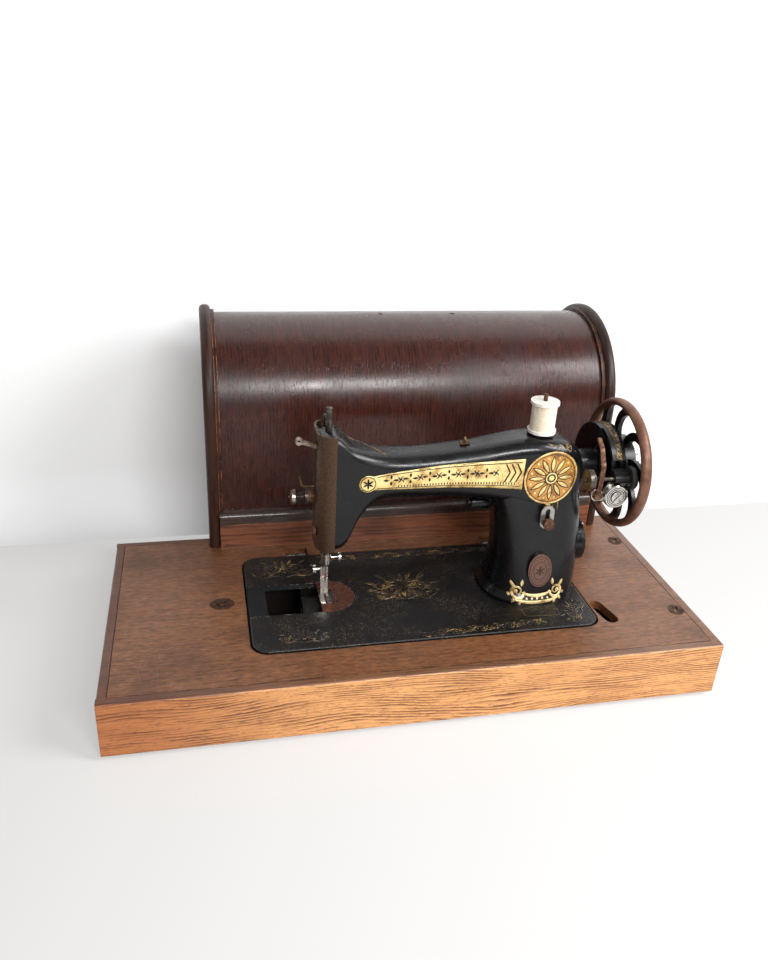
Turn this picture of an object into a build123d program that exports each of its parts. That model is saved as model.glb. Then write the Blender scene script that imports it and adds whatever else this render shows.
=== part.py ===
"""Sewing machine in the base of its wooden case, with the lift-off bentwood cover stood behind it.

Millimetres, +X toward the hand wheel, +Y to the back, +Z up. The origin is the bottom centre of the whole.
The machine's own places are given from the middle of its bed, at the level of the base's top.
"""

import os
from math import atan2, cos, degrees, pi, radians, sin, sqrt

from build123d import *

os.makedirs("parts", exist_ok=True)

# Base of the case
base_length = 626
base_depth = 287
base_height = 60
base_edge_round = 3
rail_width = 18
rail_lip = 9
board_joint = 0.7
top_board = 10
bottom_board = 6
glue_line = 0.1
foot_height = 6
foot_radius = 8
foot_side_inset = 55
foot_edge_inset = 14
belt_slot_length = 42
belt_slot_width = 15
belt_slot_angle = -78
belt_slot_place = (197, -67)

# Cover
cover_length = 492
cover_depth = 216
cover_seat = 28
cover_shift = 40
plinth_height = 31
plinth_thickness = 16
bead_height = 14
bead_width = 10
bead_round = 6
dome_height = 155
shell_thickness = 6
panel_thickness = 12
panel_recess = 6
end_moulding_width = 13
end_moulding_proud = 9
end_moulding_round = 5.5
end_moulding_lip = 18
end_bead_width = 4
end_bead_proud = 3.5
handle_hole_radius = 3
handle_hole_places = (-30.5, 60.5)
lock_length = 40
lock_height = 24
lock_thickness = 8

# Catch plates let into the base's top
catch_thickness = 1.5
catch_proud = 0.3
catch_places = ((-211, 2, 26, 20), (280, 77, 17, 18), (280, -75, 17, 18))

# Bed
bed_length = 368.3
bed_width = 178
bed_corner = 16
bed_plate = 4.5
bed_thickness = 9
bed_rim = 8
bed_proud = 1.5
bed_clearance = 2
bed_shift = (15, -1.6)
slot_back = 27
slot_front = -28.5
slot_ledge = 3
slot_ledge_depth = 3
slot_landing = 20
rest_block_length = 24
rest_block_depth = 34
rest_block_height = 14
rest_block_inner = 20
rest_block_lip = 6

# Needle plate, seated in the bed
plate_radius = 30
plate_thickness = 3
plate_flat = 8
plate_ledge = 4
seat_clearance = 0.15
needle_hole_radius = 1.4
feed_slot_width = 1.8
feed_slot_length = 26
feed_rows = (4, 8, 12)
plate_screw_radius = 3
plate_screw_places = ((14, 18), (14, -18))

# Arm
shaft_height = 148.5
shaft_radius = 6.5
running_fit = 0.05
open_pivot_gap = 0.4
needle_reach = 101
head_left = -112
head_half_width = 24
head_bottom = 71
head_corner = 14
head_wall = 5
nose_wall_x = -84
crank_room_x = -77
front_bearing_end = -60
arm_bore_radius = 15
pillar_room_left = 92
pillar_room_right = 150
pillar_room_half = 19.5
pillar_room_top = 170
shaft_boss_radius = 17
shaft_boss_end = 191

# Face plate
face_thickness = 2.5
face_bottom = 72
face_top = 200
face_front_end = -96
face_screw_place = (-12, 92)
face_screw_radius = 2.5
face_back_end = 22

# Needle bar and what it carries
needle_bar_radius = 3.6
needle_bar_bottom = 46
needle_bar_top = 222
needle_stroke = 31
clamp_radius = 5.5
clamp_height = 12
needle_radius = 0.7
needle_length = 26

# Presser bar and foot
presser_back = 13
presser_bar_radius = 3.8
presser_bar_top = 182
presser_collar_radius = 7
presser_collar_low = 112
presser_collar_high = 120
presser_spring_radius = 5.8
head_room_top = 190
head_room_high = 178
head_room_low = 90
head_room_corner = -91
screw_foot = 194
screw_neck = 200
screw_top = 209
screw_radius = 3
screw_head_radius = 4.2
foot_sole = 1.5
foot_gap = 0.2
foot_width = 13
foot_front = -16
lifter_thickness = 4
lifter_length = 46
lifter_gap = 0.6
lifter_pivot = (-93, 118)
lifter_pin_radius = 3.5

# Take-up lever
take_up_pivot = (-94, 178)
take_up_eye = (-131.5, 191)
take_up_slot = (148, 193)
take_up_front = -9
take_up_thickness = 3
take_up_hub_radius = 4.5
take_up_pin_radius = 2.5

# Thread tension
tension_place = (5, 123)
tension_base_radius = 7.5
tension_base_length = 6
tension_stud_radius = 2
tension_stud_end = -140
disc_radius = 8.5
disc_thickness = 1.4
disc_gap = 0.2
tension_wire = 0.9
tension_coil_radius = 4
tension_turns = 5
tension_pitch = 1.6
nut_radius = 8
nut_length = 4.5

# Spool pin and reel
reel_place = (124, 0)
reel_seat = 187.5
pin_radius = 2.2
pin_top = 230
pin_flange_radius = 6
pin_flange = 1
reel_radius = 15
reel_core_radius = 12.2
reel_flange = 3
reel_height = 34
reel_gap = 0.2
thread_tube = 0.7
thread_loops = 24
thread_clearance = 0.1

# Main shaft, crank and rod
crank_radius = 20
crank_thickness = 5
crank_pin_radius = 3
eccentric_radius = 10
eccentric_throw = 4
eccentric_width = 6
rod_x = 127
rod_width = 8
strap_wall = 3.6
rod_eye_radius = 7
rod_eye_bore = 3.5
rod_foot_height = -22

# Rocker and hook
rocker_place = (32, -28)
rocker_shaft_radius = 4.5
rocker_arm = 5
hook_height = -26
hook_shaft_radius = 4.5
hook_shaft_end = 84
hook_crank = 8
lug_radius = 9
race_radius = 24
race_bore = 20.2
race_left = -124
race_right = -106
race_lip = 2
race_bracket_back = 37
race_bracket_thickness = 9
hook_radius = 20
hook_bore = 14.3
bobbin_case_radius = 13.6
bobbin_radius = 10.5
driver_radius = 14

# Feed
feed_shaft_place = (-45, -30)
feed_shaft_radius = 4
feed_shaft_left = -92
feed_shaft_right = 60
feed_arm_width = 8
feed_bar_left = -85
feed_bar_right = -78
feed_bar_low = -16
feed_bar_high = -9
feed_bar_back = 46
feed_arm = 5
dog_half_length = 10
tooth_width = 1.2

# Hand wheel
wheel_radius = 70.5
wheel_x = 216
rim_depth = 8.6
rim_width = 12
hub_radius = 31
hub_left = 195.5
hub_right = 224
groove_left = 198
groove_right = 206
groove_depth = 5
spoke_count = 9
spoke_width = 9
spoke_thickness = 4.6
spoke_sweep = 24
spoke_bow = 0.1
clutch_radius = 17
clutch_length = 12
clutch_grips = 24
clutch_grip_radius = 1.2

# Belt guard and bobbin winder
guard_radius = 45
guard_bore = 39
guard_left = 190
guard_right = 205
guard_back_angle = 0
guard_front_angle = 152
guard_web = 3
winder_axis = (-46, 152)
winder_spindle_radius = 2.2
winder_left = 161
winder_flange_radius = 11
winder_flange = 6
winder_bearing_radius = 5
winder_bearing_left = 191
winder_bearing_right = 206.5
winder_pivot = (-37, 166)
winder_pin_radius = 2
tyre_radius = 12.5
pulley_radius = 9.5
tyre_left = 207
tyre_width = 6
spindle_tip = 0.3
spindle_stub = 4
worm_wheel_place = (194, 134)
worm_wheel_radius = 13
worm_wheel_thickness = 6
latch_place = (175, 134)
latch_width = 5

# Small fittings on the pillar
regulator_place = (130, 103)
regulator_width = 15
regulator_height = 27
regulator_slot = 5
regulator_travel = 10
badge_place = (127, 42)
badge_width = 27
badge_height = 38
badge_lean = 9
badge_front = -40
fitting_thickness = 2
regulator_face = -31
side_boss_place = (2, 55)
side_boss_radius = 24
side_boss_left = 182
side_boss_thickness = 4
side_knob_place = (2, 72)
side_knob_radius = 3.5
side_knob_length = 4
rear_knob_place = (12, 102)
rear_knob_left = 58

# Places worked out from the sizes above
top_z = foot_height + base_height
base_y = -(cover_depth - cover_seat) / 2
cover_y = base_y + base_depth / 2 - cover_seat + cover_depth / 2
bed_x = bed_shift[0]
bed_y = base_y + bed_shift[1]
bed_low = bed_proud - bed_thickness
bed_under = bed_proud - bed_plate
needle_x = -needle_reach
plate_x = needle_x + 2
plate_left = plate_x - plate_flat
wheel_rim_centre = wheel_radius - rim_depth / 2
crank_left = crank_room_x - 1 - crank_thickness
dome_radius = cover_depth / 2 - bead_width
hinge_x = 121
hinge_offset = 8
hinge_y = bed_width / 2 + hinge_offset
hinge_z = -6


def level(height):
    """Plan plane at a height above the base's top, centred on the bed."""
    return Plane((bed_x, bed_y, top_z + height))


def front(depth):
    """Upright plane facing the front, at a depth behind the bed's middle."""
    return Plane((bed_x, bed_y + depth, top_z), x_dir=(1, 0, 0), z_dir=(0, -1, 0))


def across(place):
    """Cross-section plane facing the hand wheel, at a place along the arm."""
    return Plane((bed_x + place, bed_y, top_z), x_dir=(0, 1, 0), z_dir=(1, 0, 0))


def cover_across(place):
    """Cross-section plane of the cover, at a place along its length."""
    return Plane((cover_shift + place, cover_y, top_z), x_dir=(0, 1, 0), z_dir=(1, 0, 0))


def bar_x(start, end, centre, radius, mode=Mode.ADD):
    """Round bar along the arm, between two places, about (depth, height)."""
    with BuildSketch(across(start)) as section:
        with Locations(centre):
            Circle(radius)
    extrude(section.sketch, amount=end - start, mode=mode)


def bar_y(start, end, centre, radius, mode=Mode.ADD):
    """Round bar from front to back, between two depths, about (along, height)."""
    with BuildSketch(front(end)) as section:
        with Locations(centre):
            Circle(radius)
    extrude(section.sketch, amount=end - start, mode=mode)


def bar_z(start, end, centre, radius, mode=Mode.ADD):
    """Upright round bar between two heights, about (along, depth)."""
    with BuildSketch(level(start)) as section:
        with Locations(centre):
            Circle(radius)
    extrude(section.sketch, amount=end - start, mode=mode)


def block(x, y, z, mode=Mode.ADD):
    """Square-edged block between pairs of places along, depth and height."""
    with BuildSketch(level(z[0])) as section:
        with Locations(((x[0] + x[1]) / 2, (y[0] + y[1]) / 2)):
            Rectangle(x[1] - x[0], y[1] - y[0])
    extrude(section.sketch, amount=z[1] - z[0], mode=mode)


def finish(piece, name):
    """Label a finished piece and write it out."""
    piece.part.label = name
    export_step(piece.part, f"parts/{name}.step")


# Rails of the base: two long ones at front and back, two short ones between them
with BuildPart() as base_rails:
    for edge in (-1, 1):
        with BuildSketch(Plane.YZ.offset(-base_length / 2)):
            rail_y = base_y + edge * (base_depth - rail_width) / 2
            with Locations((rail_y, foot_height + (base_height - top_board) / 2)):
                Rectangle(rail_width, base_height - top_board)
            with Locations((base_y + edge * (base_depth - rail_lip) / 2, foot_height + base_height / 2)):
                Rectangle(rail_lip, base_height)
        extrude(amount=base_length)
    for edge in (-1, 1):
        rail_x = edge * (base_length - rail_width) / 2
        with BuildSketch(Plane.XY.offset(foot_height)):
            with Locations((rail_x, base_y)):
                Rectangle(rail_width, base_depth - 2 * (rail_width + glue_line))
        extrude(amount=base_height - top_board)
        with BuildSketch(Plane.XY.offset(top_z - top_board + glue_line)):
            with Locations((edge * (base_length - rail_lip) / 2, base_y)):
                Rectangle(rail_lip, base_depth - 2 * (rail_lip + glue_line))
        extrude(amount=top_board - glue_line)
        with BuildSketch(Plane.XY.offset(top_z - top_board)):
            with Locations((edge * (base_length - rail_lip) / 2, base_y)):
                Rectangle(rail_lip, base_depth - 2 * (rail_width + glue_line))
        extrude(amount=glue_line)
    top_edges = base_rails.edges().filter_by_position(Axis.Z, top_z - 0.01, top_z + 0.01)
    long_edges = top_edges.filter_by(Axis.X).sort_by(Axis.Y)
    short_edges = top_edges.filter_by(Axis.Y).sort_by(Axis.X)
    fillet([long_edges[0], long_edges[-1]], base_edge_round)
    fillet([short_edges[0], short_edges[-1]], base_edge_round)
finish(base_rails, "base_rails")

# Top board, let into the rails, with the holes for the bed, the belt and the hinges
hinge_notch = (26, 18)
with BuildPart() as base_top_board:
    with BuildSketch(Plane.XY.offset(top_z - top_board)):
        with Locations((0, base_y)):
            board_gap = rail_lip + board_joint
            Rectangle(base_length - 2 * board_gap, base_depth - 2 * board_gap)
        with Locations((bed_x, bed_y)):
            RectangleRounded(
                bed_length + 2 * bed_clearance,
                bed_width + 2 * bed_clearance,
                bed_corner + bed_clearance,
                mode=Mode.SUBTRACT,
            )
        for hinge_place in (-hinge_x, hinge_x):
            with Locations((bed_x + hinge_place, bed_y + bed_width / 2 + hinge_notch[1] / 2)):
                Rectangle(*hinge_notch, mode=Mode.SUBTRACT)
        with Locations((bed_x + belt_slot_place[0], bed_y + belt_slot_place[1])):
            SlotOverall(belt_slot_length, belt_slot_width, rotation=belt_slot_angle, mode=Mode.SUBTRACT)
    extrude(amount=top_board)
    for along, depth, length, width in catch_places:
        with BuildSketch(level(catch_proud - catch_thickness)):
            with Locations((along, depth)):
                Ellipse(length / 2 + seat_clearance, width / 2 + seat_clearance)
        extrude(amount=catch_thickness, mode=Mode.SUBTRACT)
finish(base_top_board, "base_top_board")

with BuildPart() as base_bottom_board:
    with BuildSketch(Plane.XY.offset(foot_height)):
        with Locations((0, base_y)):
            floor_gap = rail_width + glue_line
            Rectangle(base_length - 2 * floor_gap, base_depth - 2 * floor_gap)
    extrude(amount=bottom_board)
finish(base_bottom_board, "base_bottom_board")

with BuildPart() as base_feet:
    with BuildSketch(Plane.XY):
        with Locations((0, base_y)):
            with GridLocations(base_length - 2 * foot_side_inset, base_depth - 2 * foot_edge_inset, 2, 2):
                Circle(foot_radius)
    extrude(amount=foot_height)
    fillet(base_feet.edges().group_by(Axis.Z)[0], foot_height / 2)
finish(base_feet, "base_feet")

# Corner blocks under the top board that the bed rests on
with BuildPart() as bed_rest_blocks:
    for along in (-1, 1):
        for depth in (-1, 1):
            corner_x = along * bed_length / 2
            corner_y = depth * bed_width / 2
            inner_x = corner_x - along * rest_block_inner
            inner_y = corner_y - depth * rest_block_inner
            outer_x = inner_x + along * rest_block_length
            outer_y = inner_y + depth * rest_block_depth
            block(
                sorted((inner_x, outer_x)),
                sorted((inner_y, outer_y)),
                (-top_board - rest_block_height, -top_board),
            )
            lip_x = corner_x - along * rest_block_lip
            lip_y = corner_y - depth * rest_block_lip
            block(sorted((inner_x, lip_x)), sorted((inner_y, lip_y)), (-top_board, bed_low))
finish(bed_rest_blocks, "bed_rest_blocks")

# Oval plates that take the cover's catches: the left one has a raised bit, the right ones a keyhole
with BuildPart() as cover_catch_plates:
    for along, depth, length, width in catch_places:
        with BuildSketch(level(catch_proud - catch_thickness)):
            with Locations((along, depth)):
                Ellipse(length / 2, width / 2)
                if along > 0:
                    SlotOverall(width * 0.6, width * 0.2, rotation=60, mode=Mode.SUBTRACT)
        extrude(amount=catch_thickness)
    left_catch = catch_places[0]
    with BuildSketch(level(catch_proud)):
        with Locations(left_catch[:2]):
            Circle(left_catch[3] * 0.28)
            Rectangle(left_catch[3] * 0.5, left_catch[3] * 0.1, mode=Mode.SUBTRACT)
    extrude(amount=catch_thickness)
finish(cover_catch_plates, "cover_catch_plates")

# Hinges at the back of the bed: leaf and pin under the board, and the spigot that enters the bed's rim
hinge_radius = 4.5
hinge_pin_radius = 1.8
knuckle_inner = 5
knuckle_outer = 11
leaf_rail_gap = 2
leaf_clearance = 0.5
leaf_thickness = 2.5
leaf_back = base_depth / 2 - rail_width - leaf_rail_gap - bed_shift[1]
spigot_radius = 2.5
spigot_height = -3.5
spigot_depth = 14
with BuildPart() as bed_hinges:
    for middle in (-hinge_x, hinge_x):
        block(
            (middle - knuckle_outer, middle + knuckle_outer),
            (hinge_y + hinge_radius + leaf_clearance, leaf_back),
            (-top_board - leaf_thickness, -top_board),
        )
        for start, end in ((-knuckle_outer, -knuckle_inner), (knuckle_inner, knuckle_outer)):
            bar_x(middle + start, middle + end, (hinge_y, hinge_z), hinge_radius)
            block(
                (middle + start, middle + end),
                (hinge_y, hinge_y + hinge_radius + 2 * leaf_clearance),
                (-top_board - leaf_thickness, hinge_z),
            )
        bar_x(middle - knuckle_inner, middle + knuckle_inner, (hinge_y, hinge_z), hinge_pin_radius)
finish(bed_hinges, "bed_hinges")

with BuildPart() as bed_hinge_spigots:
    for middle in (-hinge_x, hinge_x):
        half = knuckle_inner - 0.3
        bar_x(middle - half, middle + half, (hinge_y, hinge_z), hinge_radius - 0.2)
        bar_y(bed_width / 2 - spigot_depth, hinge_y - 2, (middle, spigot_height), spigot_radius)
        bar_x(middle - half, middle + half, (hinge_y, hinge_z), hinge_pin_radius + running_fit, Mode.SUBTRACT)
finish(bed_hinge_spigots, "bed_hinge_spigots")


def arch(radius, bottom):
    """Arch outline in the current sketch: straight sides from the bottom up, under a half round."""
    with Locations((0, dome_height)):
        Circle(radius)
    with Locations((0, (dome_height + bottom) / 2)):
        Rectangle(2 * radius, dome_height - bottom)


def arch_band(radius, bore, bottom):
    """Arch outline with a smaller arch taken out of it, open at the bottom."""
    arch(radius, bottom)
    with Locations((0, dome_height)):
        Circle(bore, mode=Mode.SUBTRACT)
    with Locations((0, (dome_height + bottom) / 2)):
        Rectangle(2 * bore, dome_height - bottom, mode=Mode.SUBTRACT)


# Bentwood cover: one bent sheet over two end panels, edged with mouldings, on a plinth of four boards
half_cover = cover_length / 2
panel_face = half_cover - panel_recess
with BuildPart() as cover_shell:
    with BuildSketch(cover_across(-panel_face)):
        arch_band(dome_radius, dome_radius - shell_thickness, plinth_height)
    extrude(amount=2 * panel_face)
    with BuildSketch(Plane((cover_shift, cover_y, top_z + dome_height))):
        with Locations(*((place, 0) for place in handle_hole_places)):
            Circle(handle_hole_radius)
    extrude(amount=dome_radius, mode=Mode.SUBTRACT)
finish(cover_shell, "cover_shell")

with BuildPart() as cover_end_panels:
    for start in (-panel_face, panel_face - panel_thickness):
        with BuildSketch(cover_across(start)):
            arch(dome_radius - shell_thickness, plinth_height)
        extrude(amount=panel_thickness)
finish(cover_end_panels, "cover_end_panels")

lip_foot = plinth_height + bead_height
moulding_middle = dome_radius + end_moulding_proud / 2
with BuildPart() as cover_end_mouldings:
    for start, lip_start in (
        (-half_cover, -half_cover),
        (half_cover - end_moulding_width, panel_face),
    ):
        hoop = Plane(
            (cover_shift + start + end_moulding_width / 2, cover_y, top_z + dome_height),
            x_dir=(1, 0, 0),
            z_dir=(0, 0, 1),
        )
        for edge in (-1, 1):
            with BuildSketch(hoop) as section:
                with Locations((0, edge * moulding_middle)):
                    Rectangle(end_moulding_width, end_moulding_proud)
                outer_corners = section.vertices().sort_by(Axis.Y)[:: -edge][:2]
                fillet(outer_corners, end_moulding_round)
            extrude(amount=-dome_height)
            if edge < 0:
                revolve(section.sketch, axis=Axis(hoop.origin, (-1, 0, 0)), revolution_arc=180)
        inward = -1 if start > 0 else 1
        for edge in (-1, 1):
            with BuildSketch(hoop) as section:
                with Locations(
                    (
                        inward * (end_moulding_width + end_bead_width) / 2,
                        edge * (dome_radius + end_bead_proud / 2),
                    )
                ):
                    Rectangle(end_bead_width, end_bead_proud)
            extrude(amount=plinth_height + bead_height + glue_line - dome_height)
            if edge < 0:
                revolve(section.sketch, axis=Axis(hoop.origin, (-1, 0, 0)), revolution_arc=180)
        with BuildSketch(cover_across(lip_start)):
            arch_band(dome_radius, dome_radius - end_moulding_lip, lip_foot)
        extrude(amount=panel_recess)
finish(cover_end_mouldings, "cover_end_mouldings")

# The plinth's and the bead's long pieces stand between the end mouldings, the short ones between their legs
between_mouldings = cover_length - 2 * (end_moulding_width + glue_line)
between_legs = 2 * (dome_radius - glue_line)
with BuildPart() as cover_plinth_boards:
    for edge in (-1, 1):
        with BuildSketch(Plane.XY.offset(top_z)):
            with Locations((cover_shift, cover_y + edge * (cover_depth - plinth_thickness) / 2)):
                Rectangle(between_mouldings, plinth_thickness)
            with Locations((cover_shift + edge * (cover_length - end_moulding_width) / 2, cover_y)):
                Rectangle(end_moulding_width, between_legs)
        extrude(amount=plinth_height)
finish(cover_plinth_boards, "cover_plinth_boards")

with BuildPart() as cover_bead_mouldings:
    for edge in (-1, 1):
        with BuildSketch(Plane.XY.offset(top_z + plinth_height)):
            with Locations((cover_shift, cover_y + edge * (cover_depth - bead_width) / 2)):
                Rectangle(between_mouldings, bead_width)
            with Locations((cover_shift + edge * (cover_length - panel_recess) / 2, cover_y)):
                Rectangle(panel_recess, between_legs)
        extrude(amount=bead_height)
    bead_top = cover_bead_mouldings.edges().group_by(Axis.Z)[-1]
    bead_long = bead_top.filter_by(Axis.X).sort_by(Axis.Y)
    fillet([bead_long[0], bead_long[-1]], bead_round)
finish(cover_bead_mouldings, "cover_bead_mouldings")

with BuildPart() as cover_lock:
    with BuildSketch(Plane.XY.offset(top_z + (plinth_height - lock_height) / 2)):
        with Locations((cover_shift - half_cover + end_moulding_width + lock_thickness / 2, cover_y)):
            Rectangle(lock_thickness, lock_length)
    extrude(amount=lock_height)
finish(cover_lock, "cover_lock")

# Bed: a plate with a rim under its edge, the open shuttle slot, the needle plate's seat and the lugs below
slot_end = -bed_length / 2
lug_shaft = {
    "hook": ((0, hook_height), hook_shaft_radius, (-72, 58)),
    "rocker": (rocker_place, rocker_shaft_radius, (104, 144)),
    "feed": (feed_shaft_place, feed_shaft_radius, (-64, 44)),
}
lug_thickness = 9
with BuildPart() as bed:
    with BuildSketch(level(bed_low)):
        RectangleRounded(bed_length, bed_width, bed_corner)
    extrude(amount=bed_thickness)
    with BuildSketch(level(bed_low)):
        RectangleRounded(bed_length - 2 * bed_rim, bed_width - 2 * bed_rim, bed_corner - bed_rim)
    extrude(amount=bed_thickness - bed_plate, mode=Mode.SUBTRACT)
    fillet(bed.edges().group_by(Axis.Z)[-1], bed_proud)
    for centre, radius, places in lug_shaft.values():
        for place in places:
            bar_x(place, place + lug_thickness, centre, lug_radius)
            block(
                (place, place + lug_thickness),
                (centre[0] - lug_radius, centre[0] + lug_radius),
                (centre[1], bed_under),
            )
    guide_low = feed_bar_low - 4
    block((feed_bar_left - 4, feed_bar_right + 4), (34, 42), (guide_low, bed_under))
    for middle in (-hinge_x, hinge_x):
        block((middle - 6, middle + 6), (bed_width / 2 - 16, bed_width / 2 - 1), (bed_low, bed_under))
    for centre, radius, places in lug_shaft.values():
        for place in places:
            bar_x(place, place + lug_thickness, centre, radius + running_fit, Mode.SUBTRACT)
    block(
        (feed_bar_left - 0.3, feed_bar_right + 0.3),
        (30, 44),
        (feed_bar_low - 0.3, feed_bar_high + 0.3),
        Mode.SUBTRACT,
    )
    slot_low = bed_proud - slot_ledge_depth
    block((slot_end - 1, plate_x), (slot_front, slot_back), (slot_low, bed_proud + 1), Mode.SUBTRACT)
    block(
        (slot_end + slot_landing, plate_x),
        (slot_front + slot_ledge, slot_back - slot_ledge),
        (bed_low - 1, slot_low),
        Mode.SUBTRACT,
    )
    plate_low = bed_proud - plate_thickness
    bar_z(plate_low, bed_proud + 1, (plate_x, 0), plate_radius + seat_clearance, Mode.SUBTRACT)
    bar_z(bed_low - 1, bed_proud, (plate_x, 0), plate_radius - plate_ledge, Mode.SUBTRACT)
    block(
        (pillar_room_left, pillar_room_right),
        (-pillar_room_half, pillar_room_half),
        (bed_low, bed_proud + 1),
        Mode.SUBTRACT,
    )
    for middle in (-hinge_x, hinge_x):
        bar_y(
            bed_width / 2 - spigot_depth - 3,
            bed_width / 2 + 1,
            (middle, spigot_height),
            spigot_radius + running_fit,
            Mode.SUBTRACT,
        )
finish(bed, "bed")

with BuildPart() as needle_plate:
    with BuildSketch(level(bed_proud - plate_thickness)):
        with Locations((plate_x, 0)):
            Circle(plate_radius)
        with Locations((plate_left - plate_radius, 0)):
            Rectangle(2 * plate_radius, 4 * plate_radius, mode=Mode.SUBTRACT)
        with Locations((needle_x, 0)):
            Circle(needle_hole_radius, mode=Mode.SUBTRACT)
        for row in feed_rows:
            with Locations((needle_x + row, 0)):
                SlotOverall(feed_slot_length, feed_slot_width, rotation=90, mode=Mode.SUBTRACT)
        with Locations(*((plate_x + along, depth) for along, depth in plate_screw_places)):
            Circle(plate_screw_radius + seat_clearance, mode=Mode.SUBTRACT)
    extrude(amount=plate_thickness)
finish(needle_plate, "needle_plate")

# Screws of the needle plate and of the face plate
with BuildPart() as plate_screws:
    for along, depth in plate_screw_places:
        bar_z(bed_proud - plate_thickness, bed_proud, (plate_x + along, depth), plate_screw_radius)
        block(
            (plate_x + along - plate_screw_radius, plate_x + along + plate_screw_radius),
            (depth - 0.4, depth + 0.4),
            (bed_proud - 1, bed_proud),
            Mode.SUBTRACT,
        )
    bar_x(head_left - face_thickness - 3, head_left - face_thickness, face_screw_place, 2 * face_screw_radius)
    bar_x(head_left - face_thickness, head_left, face_screw_place, face_screw_radius)
finish(plate_screws, "plate_screws")

# Arm casting: stations of the head and arm from left to right, as place, bottom, top, half width and corner,
# and of the pillar from the bed up, as height, left, right and half width
arm_stations = (
    (-112, 71, 197, 24, 9),
    (-101, 71, 197.8, 24, 9),
    (-91, 71.4, 195.5, 24, 9.5),
    (-83, 77.5, 188.5, 24, 10.5),
    (-75, 95, 182.8, 23.9, 11.5),
    (-66, 111, 179.3, 23.7, 12.5),
    (-56, 120.5, 176.4, 23.4, 13.5),
    (-43, 125, 174.2, 23.1, 14.5),
    (-22, 125, 173.2, 23, 15),
    (20, 123.8, 175.4, 23, 15),
    (60, 119.5, 179.8, 24, 15),
    (95, 112.5, 185.5, 25.5, 15),
    (125, 105, 186, 26.5, 15),
    (148, 105, 181.5, 25, 15),
    (164, 112, 171, 21, 15),
    (171, 124, 158, 15, 14),
)
foot_ring_stations = ((bed_proud, 74.5, 179, 46), (6, 74.5, 180, 46), (13, 80, 181.5, 42))
pillar_stations = ((13, 80, 181.5, 42), (52, 83.5, 181.5, 35.5), (98, 79, 178, 29), (132, 68, 172, 23.5))
casting_right = 200
badge_plane = Plane(
    front(badge_front).from_local_coords(Vector(*badge_place, 0)),
    x_dir=(1, 0, 0),
    z_dir=(0, -cos(radians(badge_lean)), sin(radians(badge_lean))),
)
with BuildPart() as arm_casting:
    for along, low, high, half, corner in arm_stations:
        with BuildSketch(across(along)):
            with Locations((0, (low + high) / 2)):
                RectangleRounded(2 * half, high - low, corner)
    loft()
    with BuildSketch(level(head_bottom - 5)):
        with Locations((head_left, 0)):
            Rectangle(2 * head_corner, 3 * head_half_width)
        with Locations((head_left + casting_right / 2, 0)):
            RectangleRounded(casting_right, 2 * head_half_width, head_corner, mode=Mode.SUBTRACT)
    extrude(amount=face_top, mode=Mode.SUBTRACT)
    block(
        (head_left - 1, head_left + head_corner + head_half_width),
        (-2 * head_half_width, 2 * head_half_width),
        (head_bottom - 10, head_bottom),
        Mode.SUBTRACT,
    )
    for stations, straight in ((foot_ring_stations, True), (pillar_stations, False)):
        for height, left, right, half in stations:
            with BuildSketch(level(height)):
                with Locations(((left + right) / 2, 0)):
                    RectangleRounded(right - left, 2 * half, half * 0.9)
        loft(ruled=straight)
    bar_x(pillar_room_right, shaft_boss_end, (0, shaft_height), shaft_boss_radius)
    bar_z(reel_seat - 12, reel_seat, reel_place, pin_flange_radius + 2)
    with BuildSketch(front(regulator_face + 8)):
        with Locations(regulator_place):
            SlotOverall(regulator_height, regulator_width, rotation=90)
    extrude(amount=8)
    with BuildSketch(badge_plane.offset(-8)):
        Ellipse(badge_width / 2, badge_height / 2)
    extrude(amount=8)
    bar_x(side_boss_left - 8, side_boss_left, side_boss_place, side_boss_radius)
    bar_x(rear_knob_left + 12, rear_knob_left + 20, rear_knob_place, 8)
    # rooms for the moving parts
    with BuildSketch(front(-head_half_width + head_wall)):
        with BuildLine():
            Polyline(
                (head_left - 1, head_bottom + head_wall + 1),
                (head_room_corner, head_bottom + head_wall + 1),
                (nose_wall_x, head_room_low),
                (nose_wall_x, head_room_high),
                (head_room_corner, head_room_top),
                (head_left - 1, head_room_top),
                close=True,
            )
        make_face()
    extrude(amount=-2 * (head_half_width - head_wall), mode=Mode.SUBTRACT)
    bar_x(nose_wall_x - 1, crank_room_x, (0, shaft_height), crank_radius + 1.5, Mode.SUBTRACT)
    bar_x(front_bearing_end, pillar_room_left + 2, (0, shaft_height), arm_bore_radius, Mode.SUBTRACT)
    block(
        (pillar_room_left, pillar_room_right),
        (-pillar_room_half, pillar_room_half),
        (0, pillar_room_top),
        Mode.SUBTRACT,
    )
    bar_x(crank_room_x - 2, shaft_boss_end + 1, (0, shaft_height), shaft_radius + running_fit, Mode.SUBTRACT)
    # bores for the bars, the pivots and the studs
    bar_z(head_bottom - 2, 210, (needle_x, 0), needle_bar_radius + running_fit, Mode.SUBTRACT)
    bar_z(head_bottom - 2, 150, (needle_x, presser_back), presser_bar_radius + running_fit, Mode.SUBTRACT)
    bar_z(150, 210, (needle_x, presser_back), screw_radius + running_fit, Mode.SUBTRACT)
    bar_y(
        head_half_width - head_wall - 1,
        head_half_width + 1,
        lifter_pivot,
        lifter_pin_radius + running_fit,
        Mode.SUBTRACT,
    )
    bar_y(-head_half_width + 1, take_up_front + take_up_thickness / 2, take_up_pivot, take_up_pin_radius)
    bar_z(reel_seat - 10, reel_seat + 1, reel_place, pin_radius + running_fit, Mode.SUBTRACT)
finish(arm_casting, "arm_casting")

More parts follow.
